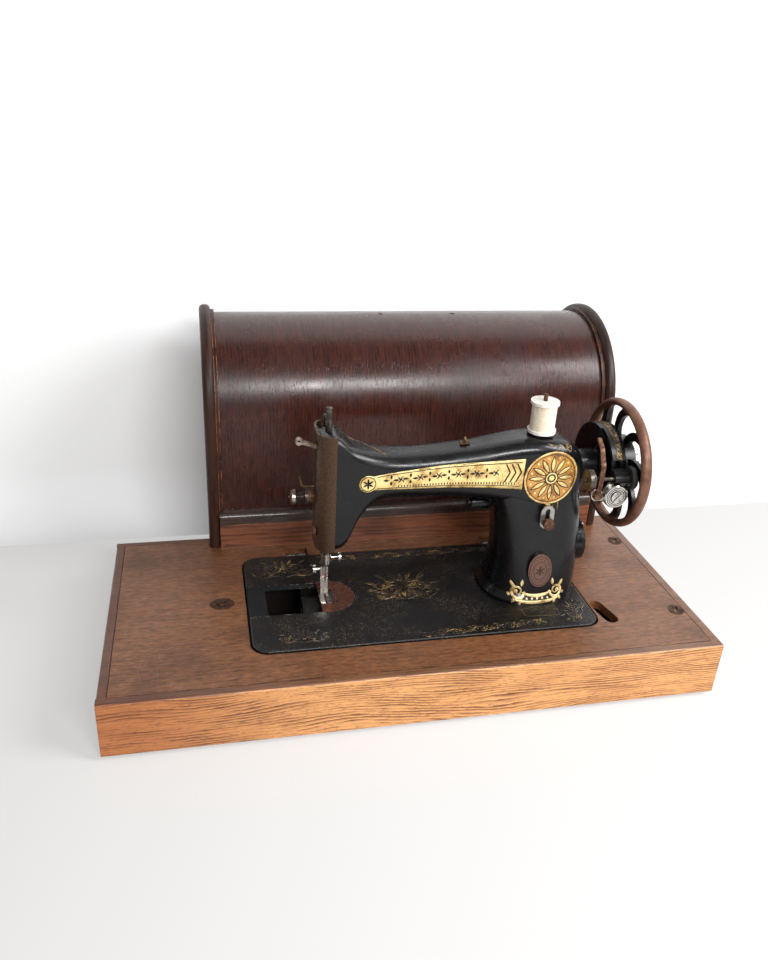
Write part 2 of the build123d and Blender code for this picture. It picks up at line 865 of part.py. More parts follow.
# Face plate: a bent sheet that closes the head's left end and wraps round its front
with BuildPart() as face_plate:
    with BuildSketch(level(face_bottom)):
        with Locations((head_left + casting_right / 2, 0)):
            RectangleRounded(
                casting_right + 2 * face_thickness,
                2 * (head_half_width + face_thickness),
                head_corner + face_thickness,
            )
            RectangleRounded(casting_right, 2 * head_half_width, head_corner, mode=Mode.SUBTRACT)
        with Locations((face_front_end + casting_right / 2, 0)):
            Rectangle(casting_right, 4 * head_half_width, mode=Mode.SUBTRACT)
        with Locations((head_left, face_back_end + head_half_width)):
            Rectangle(casting_right, 2 * head_half_width, mode=Mode.SUBTRACT)
    extrude(amount=face_top - face_bottom)
    block(
        (head_left - face_thickness - 1, head_left + 4),
        (take_up_front - take_up_thickness / 2 - 1, take_up_front + take_up_thickness / 2 + 1),
        take_up_slot,
        Mode.SUBTRACT,
    )
    bar_x(head_left - 4, head_left + 4, face_screw_place, face_screw_radius + running_fit, Mode.SUBTRACT)
    bar_x(head_left - 4, head_left + 4, tension_place, 3 + running_fit, Mode.SUBTRACT)
finish(face_plate, "face_plate")

# Link between the crank and the needle bar: it is open at the crank pin and has a stud in the bar's collar
crank_pin_height = shaft_height + needle_stroke / 2
crank_pin_end = crank_left - 5.2
link_right = crank_pin_end - open_pivot_gap
link_left = link_right - 3.6
link_foot = 134
link_stud_start = needle_x + needle_bar_radius + 1
link_stud_radius = 2.5
with BuildPart() as needle_bar_link:
    with BuildSketch(across(link_left)):
        for height in (link_foot, crank_pin_height):
            with Locations((0, height)):
                Circle(6)
        with Locations((0, (link_foot + crank_pin_height) / 2)):
            Rectangle(7, crank_pin_height - link_foot)
        with Locations((0, crank_pin_height)):
            Circle(crank_pin_radius, mode=Mode.SUBTRACT)
    extrude(amount=link_right - link_left)
    bar_x(link_stud_start, link_left, (0, link_foot), link_stud_radius)
finish(needle_bar_link, "needle_bar_link")

# Needle bar, its clamp with the thumb screw, and the needle
with BuildPart() as needle_bar:
    bar_z(needle_bar_bottom, needle_bar_top, (needle_x, 0), needle_bar_radius)
    bar_z(link_foot - 6, link_foot + 6, (needle_x, 0), needle_bar_radius + 3)
    chamfer(needle_bar.edges().group_by(Axis.Z)[-1], 0.6)
    bar_x(link_stud_start, link_left, (0, link_foot), link_stud_radius, Mode.SUBTRACT)
finish(needle_bar, "needle_bar")

clamp_low = needle_bar_bottom - 1
with BuildPart() as needle_clamp:
    bar_z(clamp_low, clamp_low + clamp_height, (needle_x, 0), clamp_radius)
    bar_z(needle_bar_bottom, clamp_low + clamp_height, (needle_x, 0), needle_bar_radius, Mode.SUBTRACT)
    screw_height = clamp_low + clamp_height / 2
    bar_x(needle_x + clamp_radius + 0.1, needle_x + 13, (0, screw_height), 1.6)
    bar_x(needle_x + 13, needle_x + 16, (0, screw_height), 5.5)
finish(needle_clamp, "needle_clamp")

with BuildPart() as needle:
    tip_length = 5
    bar_z(clamp_low - needle_length + tip_length, clamp_low, (needle_x, 0), needle_radius)
    with BuildSketch(level(clamp_low - needle_length + tip_length)):
        with Locations((needle_x, 0)):
            Circle(needle_radius)
    with BuildSketch(level(clamp_low - needle_length)):
        with Locations((needle_x, 0)):
            Circle(needle_radius / 4)
    loft()
finish(needle, "needle")

# Presser bar with its collar, spring, screw, foot and lifter
with BuildPart() as presser_bar:
    bar_z(24, presser_bar_top, (needle_x, presser_back), presser_bar_radius)
    bar_z(presser_collar_low, presser_collar_high, (needle_x, presser_back), presser_collar_radius)
    block(
        (needle_x - 12, needle_x + 12),
        (-head_half_width, presser_back - presser_collar_radius + 1.6),
        (presser_collar_low, presser_collar_high),
        Mode.SUBTRACT,
    )
    block(
        (needle_x - 12, needle_x + 12),
        (head_half_width - head_wall - 0.4, head_half_width),
        (presser_collar_low, presser_collar_high),
        Mode.SUBTRACT,
    )
finish(presser_bar, "presser_bar")

with BuildPart() as presser_spring:
    bar_z(presser_collar_high, head_room_top, (needle_x, presser_back), presser_spring_radius)
    bar_z(
        presser_collar_high,
        head_room_top,
        (needle_x, presser_back),
        presser_bar_radius + 0.2,
        Mode.SUBTRACT,
    )
finish(presser_spring, "presser_spring")

with BuildPart() as pressure_screw:
    bar_z(screw_foot, screw_neck, (needle_x, presser_back), screw_radius)
    bar_z(screw_neck, screw_top, (needle_x, presser_back), screw_head_radius)
    chamfer(pressure_screw.edges().group_by(Axis.Z)[-1], 0.8)
finish(pressure_screw, "pressure_screw")

sole_low = bed_proud + foot_gap
with BuildPart() as presser_foot:
    with BuildSketch(level(sole_low)):
        with Locations((needle_x, (foot_front + presser_back) / 2)):
            RectangleRounded(foot_width, presser_back - foot_front, 3)
        with Locations((needle_x, foot_front / 2)):
            Rectangle(2.4, -foot_front + 5, mode=Mode.SUBTRACT)
    extrude(amount=foot_sole)
    with BuildSketch(across(needle_x - 4)):
        with BuildLine():
            Polyline(
                (5, sole_low + foot_sole),
                (presser_back - 4.5, 20),
                (presser_back - 4.5, 34),
                (presser_back + 4.5, 34),
                (presser_back + 4.5, 16),
                (presser_back - 1, sole_low + foot_sole),
                close=True,
            )
        make_face()
    extrude(amount=8)
    bar_z(24, 35, (needle_x, presser_back), presser_bar_radius + running_fit, Mode.SUBTRACT)
    bar_x(needle_x - 9, needle_x - 4.2, (presser_back, 29), 2)
    bar_x(needle_x - 12, needle_x - 9, (presser_back, 29), 5.6)
finish(presser_foot, "presser_foot")

lifter_front = head_half_width + lifter_gap
with BuildPart() as presser_lifter:
    bar_y(head_half_width - head_wall, lifter_front, lifter_pivot, lifter_pin_radius)
    with BuildSketch(front(lifter_front + lifter_thickness)):
        with Locations(lifter_pivot):
            Circle(7)
        with Locations((lifter_pivot[0] + 2, lifter_pivot[1] - lifter_length / 2)):
            Rectangle(8, lifter_length)
        with Locations((lifter_pivot[0] + 3, lifter_pivot[1] - lifter_length)):
            Circle(7)
    extrude(amount=lifter_thickness)
finish(presser_lifter, "presser_lifter")

# Take-up lever on its pin, out through the face plate
with BuildPart() as take_up_lever:
    lever_back = take_up_front + take_up_thickness / 2
    dx = take_up_eye[0] - take_up_pivot[0]
    dz = take_up_eye[1] - take_up_pivot[1]
    with BuildSketch(front(lever_back)):
        with Locations(take_up_pivot):
            Circle(take_up_hub_radius)
        with Locations(((take_up_eye[0] + take_up_pivot[0]) / 2, (take_up_eye[1] + take_up_pivot[1]) / 2)):
            Rectangle(sqrt(dx * dx + dz * dz), 4, rotation=degrees(atan2(dz, dx)))
        with Locations(take_up_eye):
            Circle(4)
            Circle(1.6, mode=Mode.SUBTRACT)
        with Locations(take_up_pivot):
            Circle(take_up_pin_radius + running_fit, mode=Mode.SUBTRACT)
    extrude(amount=take_up_thickness)
finish(take_up_lever, "take_up_lever")


def biarc(start, end, start_way, end_way):
    """Two tangent arcs from start to end, in the current line, leaving and arriving along two directions."""
    gap = end - start
    both = start_way + end_way
    twist = 2 * (1 - start_way.dot(end_way))
    along = gap.dot(both)
    reach = (sqrt(along * along + twist * gap.dot(gap)) - along) / twist
    meet = (start + end + (start_way - end_way) * reach) * 0.5
    meet_way = (gap - both * reach).normalized()
    TangentArc(start, meet, tangent=start_way)
    TangentArc(meet, end, tangent=meet_way)


def coil_points(plane, radius, pitch, turns):
    """Points and directions each half turn along a coil about a plane's normal, from its foot up."""
    rise = pitch / (2 * pi)
    places = []
    for step in range(int(2 * turns) + 1):
        angle = step * pi
        place = Vector(radius * cos(angle), radius * sin(angle), rise * angle)
        way = Vector(-radius * sin(angle), radius * cos(angle), rise)
        ahead = plane.from_local_coords(place + way)
        place = plane.from_local_coords(place)
        places.append((place, (ahead - place).normalized()))
    return places


def least_self_gap(radius, pitch, turns, tube):
    """Least gap between one turn and the next, from points along the coil."""
    steps = 36
    rise = pitch / (2 * pi)
    points = []
    for step in range(int(turns * steps) + 1):
        angle = 2 * pi * step / steps
        points.append(Vector(radius * cos(angle), radius * sin(angle), rise * angle))
    least = min(
        (first - second).length
        for index, first in enumerate(points)
        for second in points[index + steps // 2 : index + 2 * steps]
    )
    return least - tube


# Tension unit at the left end: stud on its boss, two discs, spring and thumb nut
face_left = head_left - face_thickness
tension_seat = face_left - tension_base_length
disc_start = tension_seat - disc_gap - 2 * disc_thickness - disc_gap
spring_start = disc_start - 0.2
with BuildPart() as tension_stud:
    bar_x(tension_seat, face_left, tension_place, tension_base_radius)
    bar_x(face_left, face_left + 6, tension_place, 3)
    bar_x(tension_stud_end, tension_seat, tension_place, tension_stud_radius)
finish(tension_stud, "tension_stud")

with BuildPart() as tension_discs:
    for index in range(2):
        disc_left = tension_seat - (index + 1) * (disc_thickness + disc_gap)
        bar_x(disc_left, disc_left + disc_thickness, tension_place, disc_radius)
        bar_x(disc_left, disc_left + disc_thickness, tension_place, tension_stud_radius + 0.15, Mode.SUBTRACT)
finish(tension_discs, "tension_discs")

spring_place = Plane(
    across(spring_start - tension_wire / 2).from_local_coords(Vector(*tension_place, 0)),
    x_dir=(0, 1, 0),
    z_dir=(-1, 0, 0),
)
spring_stations = coil_points(spring_place, tension_coil_radius, tension_pitch, tension_turns)
with BuildPart() as tension_spring:
    with BuildLine() as spring_path:
        first_place, first_way = spring_stations[0]
        last_place, last_way = spring_stations[-1]
        Line(first_place - first_way * tension_wire, first_place)
        for (start, start_way), (end, end_way) in zip(spring_stations, spring_stations[1:]):
            biarc(start, end, start_way, end_way)
        Line(last_place, last_place + last_way * tension_wire)
    with BuildSketch(Plane(spring_path.line @ 0, z_dir=spring_path.line % 0)):
        Circle(tension_wire / 2)
    sweep()
finish(tension_spring, "tension_spring")
spring_gap = least_self_gap(tension_coil_radius, tension_pitch, tension_turns, tension_wire)
print("tension spring gap to itself", spring_gap)

nut_right = spring_start - tension_turns * tension_pitch - tension_wire - 0.3
with BuildPart() as tension_nut:
    bar_x(nut_right - nut_length, nut_right, tension_place, nut_radius)
    chamfer(tension_nut.edges(), 0.5)
    bar_x(nut_right - nut_length, nut_right, tension_place, tension_stud_radius + running_fit, Mode.SUBTRACT)
finish(tension_nut, "tension_nut")

# Wire guides for the thread: the prong over the tension unit, and the hook on top of the arm
guide_wire = 1.2
prong_height = 134
prong_reach = 11.5
prong_lean = 3
prong_rise = 11
guide_place = 41
guide_seat = 178
guide_pad = (10, 6, 2)
guide_ring = 3
guide_ring_width = 2
with BuildPart() as thread_guides:
    with BuildLine(front(tension_place[0])) as prong_path:
        FilletPolyline(
            (face_left, prong_height),
            (face_left - prong_reach, prong_height),
            (face_left - prong_reach - prong_lean, prong_height + prong_rise),
            radius=prong_lean,
        )
    with BuildSketch(Plane(prong_path.line @ 0, z_dir=prong_path.line % 0)):
        Circle(guide_wire)
    sweep()
    block(
        (guide_place - guide_pad[0] / 2, guide_place + guide_pad[0] / 2),
        (-guide_pad[1] / 2, guide_pad[1] / 2),
        (guide_seat, guide_seat + guide_pad[2]),
    )
    ring_middle = (0, guide_seat + guide_pad[2] + guide_ring - 1)
    ring_start = guide_place - guide_ring_width / 2
    bar_x(ring_start, ring_start + guide_ring_width, ring_middle, guide_ring)
    bar_x(ring_start, ring_start + guide_ring_width, ring_middle, guide_ring / 2, Mode.SUBTRACT)
finish(thread_guides, "thread_guides")

# Spool pin, the reel on it, and the outer layer of thread over the filled reel
with BuildPart() as spool_pin:
    bar_z(reel_seat - 10, pin_top, reel_place, pin_radius)
    bar_z(reel_seat, reel_seat + pin_flange, reel_place, pin_flange_radius)
finish(spool_pin, "spool_pin")

reel_low = reel_seat + pin_flange + reel_gap
reel_high = reel_low + reel_height
with BuildPart() as thread_reel:
    bar_z(reel_low, reel_high, reel_place, reel_core_radius)
    bar_z(reel_low, reel_low + reel_flange, reel_place, reel_radius)
    bar_z(reel_high - reel_flange, reel_high, reel_place, reel_radius)
    bar_z(reel_low, reel_high, reel_place, pin_radius + 0.3, Mode.SUBTRACT)
finish(thread_reel, "thread_reel")

winding_room = reel_height - 2 * reel_flange - thread_tube - 0.4
winding_pitch = winding_room / thread_loops
winding_radius = reel_core_radius + thread_clearance + thread_tube / 2
winding_low = reel_low + reel_flange + thread_tube / 2 + 0.2
winding_place = Plane((bed_x + reel_place[0], bed_y + reel_place[1], top_z + winding_low))
winding_stations = coil_points(winding_place, winding_radius, winding_pitch, thread_loops)
with BuildPart() as reel_winding:
    with BuildLine() as winding_path:
        first_place, first_way = winding_stations[0]
        last_place, last_way = winding_stations[-1]
        Line(first_place - first_way * thread_tube, first_place)
        for (start, start_way), (end, end_way) in zip(winding_stations, winding_stations[1:]):
            biarc(start, end, start_way, end_way)
        Line(last_place, last_place + last_way * thread_tube)
    with BuildSketch(Plane(winding_path.line @ 0, z_dir=winding_path.line % 0)):
        Circle(thread_tube / 2)
    sweep()
finish(reel_winding, "reel_winding")
print("winding gap to itself", least_self_gap(winding_radius, winding_pitch, thread_loops, thread_tube))

# Main shaft with its eccentric, and the needle crank on its left end
with BuildPart() as main_shaft:
    bar_x(crank_left + crank_thickness, hub_right, (0, shaft_height), shaft_radius)
    half_eccentric = eccentric_width / 2
    bar_x(
        rod_x - half_eccentric,
        rod_x + half_eccentric,
        (0, shaft_height + eccentric_throw),
        eccentric_radius,
    )
finish(main_shaft, "main_shaft")

with BuildPart() as needle_crank:
    bar_x(crank_left, crank_left + crank_thickness, (0, shaft_height), crank_radius)
    bar_x(crank_pin_end, crank_left, (0, crank_pin_height), crank_pin_radius)
finish(needle_crank, "needle_crank")

strap_bore = eccentric_radius + eccentric_throw + open_pivot_gap
with BuildPart() as connecting_rod:
    with BuildSketch(across(rod_x - rod_width / 2)):
        with Locations((0, shaft_height)):
            Circle(strap_bore + strap_wall)
        with Locations((0, (shaft_height + rod_foot_height) / 2)):
            Rectangle(rod_width, shaft_height - rod_foot_height)
        with Locations((0, rod_foot_height)):
            Circle(rod_eye_radius)
            Circle(rod_eye_bore, mode=Mode.SUBTRACT)
        with Locations((0, shaft_height)):
            Circle(strap_bore, mode=Mode.SUBTRACT)
    extrude(amount=rod_width)
finish(connecting_rod, "connecting_rod")

# Rocker under the bed, driven by the rod and open at both pins
rocker_left = 88
rocker_right = 158
rocker_boss = 8
fork_width = 14
fork_slot = (22, 8)
rod_arm_left = rod_x + rod_width / 2 + 4
with BuildPart() as rocker:
    bar_x(rocker_left, rocker_right, rocker_place, rocker_shaft_radius)
    with BuildSketch(across(rod_arm_left)):
        with Locations(rocker_place):
            Circle(rocker_boss)
        with Locations((0, rod_foot_height)):
            Circle(rod_eye_radius - 1)
        with Locations((rocker_place[0] / 2, (rocker_place[1] + rod_foot_height) / 2)):
            rocker_lean = atan2(rocker_place[1] - rod_foot_height, rocker_place[0])
            Rectangle(rocker_place[0], rocker_boss, rotation=degrees(rocker_lean))
    extrude(amount=rocker_arm)
    bar_x(rod_arm_left - 4 + open_pivot_gap, rod_arm_left, (0, rod_foot_height), rod_eye_bore - 0.4)
    with BuildSketch(across(rocker_left + 2)):
        with Locations(rocker_place):
            Circle(rocker_boss)
        with Locations((rocker_place[0] / 2 - 3, (rocker_place[1] + hook_height) / 2)):
            Rectangle(rocker_place[0] + 6, fork_width)
        with Locations((0, hook_height)):
            SlotOverall(*fork_slot, mode=Mode.SUBTRACT)
    extrude(amount=rocker_arm)
finish(rocker, "rocker")

# Hook shaft with its crank and driver, the race, the hook, the bobbin case and the bobbin
with BuildPart() as hook_shaft:
    bar_x(-90, hook_shaft_end, (0, hook_height), hook_shaft_radius)
    bar_x(hook_shaft_end - 5, hook_shaft_end, (0, hook_height), hook_crank + 3)
    bar_x(hook_shaft_end, rocker_left + 2 - open_pivot_gap, (0, hook_height + hook_crank), 2.5)
    bar_x(-97, -90, (0, hook_height), driver_radius)
    with BuildSketch(across(race_right - 0.5)):
        with Locations((0, hook_height)):
            Circle(driver_radius)
            Circle(driver_radius - 3.5, mode=Mode.SUBTRACT)
            with Locations((0, driver_radius)):
                Rectangle(3 * driver_radius, 2.4 * driver_radius, mode=Mode.SUBTRACT)
    extrude(amount=-97 - race_right + 0.5)
finish(hook_shaft, "hook_shaft")

with BuildPart() as shuttle_race:
    bar_x(race_left - race_lip, race_right, (0, hook_height), race_radius)
    block((race_left, race_right), (race_radius - 8, race_bracket_back), (hook_height - 6, hook_height + 6))
    block(
        (race_left, race_right),
        (race_bracket_back - race_bracket_thickness, race_bracket_back),
        (hook_height, bed_under),
    )
    bar_x(race_left, race_right, (0, hook_height), race_bore, Mode.SUBTRACT)
    bar_x(race_left - race_lip, race_left, (0, hook_height), bobbin_case_radius + 0.3, Mode.SUBTRACT)
finish(shuttle_race, "shuttle_race")

with BuildPart() as shuttle_hook:
    with BuildSketch(across(race_left + 0.5)):
        with Locations((0, hook_height)):
            Circle(hook_radius)
            Circle(hook_bore, mode=Mode.SUBTRACT)
            with Locations((0, hook_radius)):
                Rectangle(10, 1.6 * hook_radius, mode=Mode.SUBTRACT)
    extrude(amount=race_right - race_left - 2.5)
    with BuildSketch(across(race_right - 2)):
        with Locations((0, hook_height)):
            Circle(hook_radius)
            Circle(driver_radius - 4, mode=Mode.SUBTRACT)
            with Locations((0, hook_radius)):
                Rectangle(10, 1.6 * hook_radius, mode=Mode.SUBTRACT)
    extrude(amount=1.5)
finish(shuttle_hook, "shuttle_hook")

with BuildPart() as bobbin_case:
    bar_x(race_left - 3, race_right - 2.5, (0, hook_height), bobbin_case_radius)
    bar_x(race_left - 1.5, race_right - 2.5, (0, hook_height), bobbin_case_radius - 1.5, Mode.SUBTRACT)
    bar_x(race_left - 1.5, race_right - 3, (0, hook_height), 2.5)
finish(bobbin_case, "bobbin_case")

with BuildPart() as bobbin:
    bobbin_left = race_left - 1.2
    bobbin_right = race_right - 3.5
    bar_x(bobbin_left, bobbin_right, (0, hook_height), 4.5)
    bar_x(bobbin_left, bobbin_left + 1, (0, hook_height), bobbin_radius)
    bar_x(bobbin_right - 1, bobbin_right, (0, hook_height), bobbin_radius)
    bar_x(bobbin_left, bobbin_right, (0, hook_height), 2.8, Mode.SUBTRACT)
finish(bobbin, "bobbin")

# Feed: the rocking shaft, the bar that slides to and fro, and the toothed dog on it
with BuildPart() as feed_rock_shaft:
    bar_x(feed_shaft_left, feed_shaft_right, feed_shaft_place, feed_shaft_radius)
    with BuildSketch(across(feed_bar_left - 1 - feed_arm)):
        with Locations(feed_shaft_place):
            Circle(feed_arm_width)
        with Locations((feed_shaft_place[0], (feed_shaft_place[1] + feed_bar_high - 3) / 2)):
            Rectangle(feed_arm_width, feed_bar_high - 3 - feed_shaft_place[1])
    extrude(amount=feed_arm)
finish(feed_rock_shaft, "feed_rock_shaft")

dog_left = needle_x + 2.5
with BuildPart() as feed_bar:
    feed_bar_front = feed_shaft_place[0] - 4
    block((feed_bar_left, feed_bar_right), (feed_bar_front, feed_bar_back), (feed_bar_low, feed_bar_high))
    block((dog_left, feed_bar_right), (-dog_half_length, dog_half_length), (feed_bar_high - 2, feed_bar_high))
finish(feed_bar, "feed_bar")

with BuildPart() as feed_dog:
    block(
        (dog_left, needle_x + feed_rows[-1] + 3),
        (-dog_half_length, dog_half_length),
        (feed_bar_high, bed_proud - plate_thickness - 0.5),
    )
    for row in feed_rows:
        block(
            (needle_x + row - tooth_width / 2, needle_x + row + tooth_width / 2),
            (-dog_half_length + 0.5, dog_half_length - 0.5),
            (feed_bar_high, bed_proud - 0.3),
        )
finish(feed_dog, "feed_dog")

# Hand wheel with belt groove and curved spokes, and the screw that clutches it to the shaft
with BuildPart() as hand_wheel:
    bar_x(hub_left, hub_right, (0, shaft_height), hub_radius)
    with BuildSketch(front(0)):
        with BuildLine():
            groove_bottom = shaft_height + hub_radius - groove_depth
            Polyline(
                (groove_left, shaft_height + hub_radius + 1),
                (groove_left + groove_depth / 2, groove_bottom),
                (groove_right - groove_depth / 2, groove_bottom),
                (groove_right, shaft_height + hub_radius + 1),
                close=True,
            )
        make_face()
    revolve(axis=Axis(across(0).from_local_coords(Vector(0, shaft_height, 0)), (1, 0, 0)), mode=Mode.SUBTRACT)
    with BuildSketch(front(0)):
        with Locations((wheel_x, shaft_height + wheel_rim_centre)):
            Ellipse(rim_width / 2, rim_depth / 2)
    revolve(axis=Axis(across(0).from_local_coords(Vector(0, shaft_height, 0)), (1, 0, 0)))
    with BuildSketch(across(wheel_x - spoke_thickness / 2)):
        with BuildLine(mode=Mode.PRIVATE) as spoke_line:
            lean = radians(spoke_sweep)
            bow = radians(spoke_sweep * spoke_bow)
            bow_reach = (hub_radius + wheel_rim_centre) / 2
            ThreePointArc(
                (hub_radius - 4, 0),
                (bow_reach * cos(bow), bow_reach * sin(bow)),
                (wheel_rim_centre * cos(lean), wheel_rim_centre * sin(lean)),
            )
        spoke_face = trace(spoke_line.line, spoke_width, mode=Mode.PRIVATE)
        with Locations((0, shaft_height)):
            with PolarLocations(0, spoke_count):
                add(spoke_face.faces())
    extrude(amount=spoke_thickness)
    bar_x(hub_left - 1, hub_right + 1, (0, shaft_height), shaft_radius, Mode.SUBTRACT)
finish(hand_wheel, "hand_wheel")

clutch_start = hub_right + 0.2
with BuildPart() as clutch_screw:
    bar_x(clutch_start, clutch_start + clutch_length, (0, shaft_height), clutch_radius)
    chamfer(clutch_screw.edges().group_by(Axis.X)[-1], 1.5)
    with BuildSketch(across(clutch_start)):
        with Locations((0, shaft_height)):
            with PolarLocations(clutch_radius, clutch_grips):
                Circle(clutch_grip_radius)
    extrude(amount=clutch_length, mode=Mode.SUBTRACT)
finish(clutch_screw, "clutch_screw")


def ring_sector(outer, inner, start_angle, end_angle):
    """Part of a ring in the current sketch, about its middle, between two angles."""
    with BuildLine(mode=Mode.PRIVATE) as outline:
        outer_arc = CenterArc((0, 0), outer, start_angle, end_angle - start_angle)
        inner_arc = CenterArc((0, 0), inner, start_angle, end_angle - start_angle)
        Line(outer_arc @ 0, inner_arc @ 0)
        Line(outer_arc @ 1, inner_arc @ 1)
    add(make_face(outline.edges(), mode=Mode.PRIVATE).faces())


# Belt guard over the wheel's groove, clamped round the shaft's boss
with BuildPart() as belt_guard:
    with BuildSketch(across(guard_left)):
        with Locations((0, shaft_height)):
            ring_sector(guard_radius, guard_bore, guard_back_angle, guard_front_angle)
    extrude(amount=guard_right - guard_left)
    with BuildSketch(across(guard_left - guard_web)):
        with Locations((0, shaft_height)):
            ring_sector(guard_radius, shaft_boss_radius - 1, guard_back_angle, 100)
            Circle(shaft_boss_radius + 4)
            Circle(shaft_boss_radius + running_fit, mode=Mode.SUBTRACT)
    extrude(amount=guard_web)
    bar_x(guard_right - 1, winder_bearing_right, winder_pivot, winder_pin_radius)
finish(belt_guard, "belt_guard")

# Bobbin winder: the swinging frame, the spindle with its flange and pulley, and the rubber tyre
frame_start = guard_right + 0.2
with BuildPart() as winder_frame:
    bar_x(winder_bearing_left, winder_bearing_right, winder_axis, winder_bearing_radius)
    block(
        (winder_bearing_left, winder_bearing_right),
        (winder_axis[0], winder_axis[0] + 9),
        (winder_axis[1] - 9, winder_axis[1] + 7),
    )
    with BuildSketch(across(frame_start)):
        with Locations(winder_pivot):
            Circle(4)
        with Locations((winder_axis[0] + 6, (winder_axis[1] + winder_pivot[1]) / 2)):
            Rectangle(6, winder_pivot[1] - winder_axis[1], rotation=-12)
        with Locations(winder_pivot):
            Circle(winder_pin_radius + running_fit, mode=Mode.SUBTRACT)
    extrude(amount=winder_bearing_right - frame_start)
    plate_back = winder_axis[0] + 1
    block(
        (worm_wheel_place[0] - 5, worm_wheel_place[0] + 8),
        (winder_axis[0] + 1, winder_axis[0] + 8),
        (worm_wheel_place[1] - 6, winder_axis[1] - 8),
    )
    with BuildSketch(front(plate_back)):
        with Locations(worm_wheel_place):
            Circle(worm_wheel_radius + 0.5)
        with Locations(latch_place):
            Circle(6.5)
        with Locations(((worm_wheel_place[0] + latch_place[0]) / 2, worm_wheel_place[1] - 2)):
            Rectangle(worm_wheel_place[0] - latch_place[0], 9)
    extrude(amount=fitting_thickness)
    bar_x(
        winder_bearing_left - 1,
        winder_bearing_right + 1,
        winder_axis,
        winder_spindle_radius + running_fit,
        Mode.SUBTRACT,
    )
finish(winder_frame, "winder_frame")

with BuildPart() as winder_spindle:
    spindle_right = tyre_left + tyre_width + spindle_tip
    bar_x(winder_left - spindle_stub, spindle_right, winder_axis, winder_spindle_radius)
    bar_x(winder_left, winder_left + winder_flange, winder_axis, winder_flange_radius)
    bar_x(tyre_left, tyre_left + tyre_width, winder_axis, pulley_radius)
finish(winder_spindle, "winder_spindle")

with BuildPart() as winder_tyre:
    bar_x(tyre_left, tyre_left + tyre_width, winder_axis, tyre_radius)
    fillet(winder_tyre.edges(), 1.5)
    bar_x(tyre_left, tyre_left + tyre_width, winder_axis, pulley_radius, Mode.SUBTRACT)
finish(winder_tyre, "winder_tyre")

wheel_face = plate_back - fitting_thickness - 0.2
with BuildPart() as winder_worm_wheel:
    bar_y(wheel_face - worm_wheel_thickness, wheel_face, worm_wheel_place, worm_wheel_radius)
    chamfer(winder_worm_wheel.edges().group_by(Axis.Y)[0], 1)
    bar_y(wheel_face - worm_wheel_thickness - 1.5, wheel_face - worm_wheel_thickness, worm_wheel_place, 6)
    with BuildSketch(front(wheel_face - worm_wheel_thickness - 0.5)):
        with Locations(worm_wheel_place):
            Rectangle(13, 1.2, rotation=50)
    extrude(amount=1.5, mode=Mode.SUBTRACT)
finish(winder_worm_wheel, "winder_worm_wheel")

# Stop latch: a strap up over the spindle from its pivot screw
with BuildPart() as winder_latch:
    bar_y(wheel_face - 1.6, wheel_face, latch_place, 5)
    bar_y(wheel_face - 3.6, wheel_face - 1.6, latch_place, 4.2)
    with BuildSketch(across(latch_place[0] - latch_width / 2)):
        with BuildLine(mode=Mode.PRIVATE) as strap_line:
            Polyline(
                (wheel_face - 0.8, latch_place[1]),
                (wheel_face - 3, latch_place[1] + 14),
                (wheel_face - 3, latch_place[1] + 34),
                (wheel_face + 6, latch_place[1] + 50),
                (wheel_face + 16, latch_place[1] + 58),
            )
        trace(strap_line.line, 1.6)
    extrude(amount=latch_width)
finish(winder_latch, "winder_latch")

# Plates on the pillar's front: the regulator's slotted plate and the plain oval badge with its rivets
with BuildPart() as pillar_plates:
    with BuildSketch(front(regulator_face)):
        with Locations(regulator_place):
            SlotOverall(regulator_height, regulator_width, rotation=90)
            SlotOverall(
                regulator_travel + 2 * regulator_slot,
                regulator_slot,
                rotation=90,
                mode=Mode.SUBTRACT,
            )
    extrude(amount=fitting_thickness)
    with BuildSketch(badge_plane):
        Ellipse(badge_width / 2, badge_height / 2)
    extrude(amount=fitting_thickness)
    with BuildSketch(badge_plane.offset(fitting_thickness)):
        with GridLocations(badge_width - 6, 0, 2, 1):
            Circle(1.4)
    extrude(amount=0.6)
finish(pillar_plates, "pillar_plates")

# Stitch regulator: a thumb screw that slides in the plate's slot
regulator_low = regulator_place[1] - regulator_travel / 2
regulator_front = regulator_face - fitting_thickness
with BuildPart() as regulator_screw:
    bar_y(
        regulator_front - 8,
        regulator_face,
        (regulator_place[0], regulator_low),
        regulator_slot / 2 - 0.1,
    )
    bar_y(regulator_front - 8, regulator_front - 4.5, (regulator_place[0], regulator_low), 6.2)
    bar_y(regulator_front - 1.2, regulator_front - 0.1, (regulator_place[0], regulator_low), 4)
finish(regulator_screw, "regulator_screw")

# Threaded boss with its screw on the pillar's right, and the capped screw on its left
with BuildPart() as pillar_bosses:
    side_boss_face = side_boss_left + side_boss_thickness
    bar_x(side_boss_left, side_boss_face, side_boss_place, side_boss_radius)
    bar_x(side_boss_face, side_boss_face + side_knob_length, side_knob_place, side_knob_radius)
    bar_x(rear_knob_left, rear_knob_left + 12, rear_knob_place, 8)
    bar_x(rear_knob_left - 3, rear_knob_left, rear_knob_place, 4)
finish(pillar_bosses, "pillar_bosses")
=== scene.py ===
"""Antique sewing machine in its wooden base, with the bentwood cover stood behind it.

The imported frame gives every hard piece. This script dresses them, adds the worn gold ornament and the coil
spring of the presser, and sets the camera, the lamps and the stage.
"""

import logging
from dataclasses import dataclass, field
from enum import Enum, IntEnum
from math import cos, pi, radians, sin

import bmesh
import bpy
from mathutils import Matrix, Vector
from mathutils.bvhtree import BVHTree


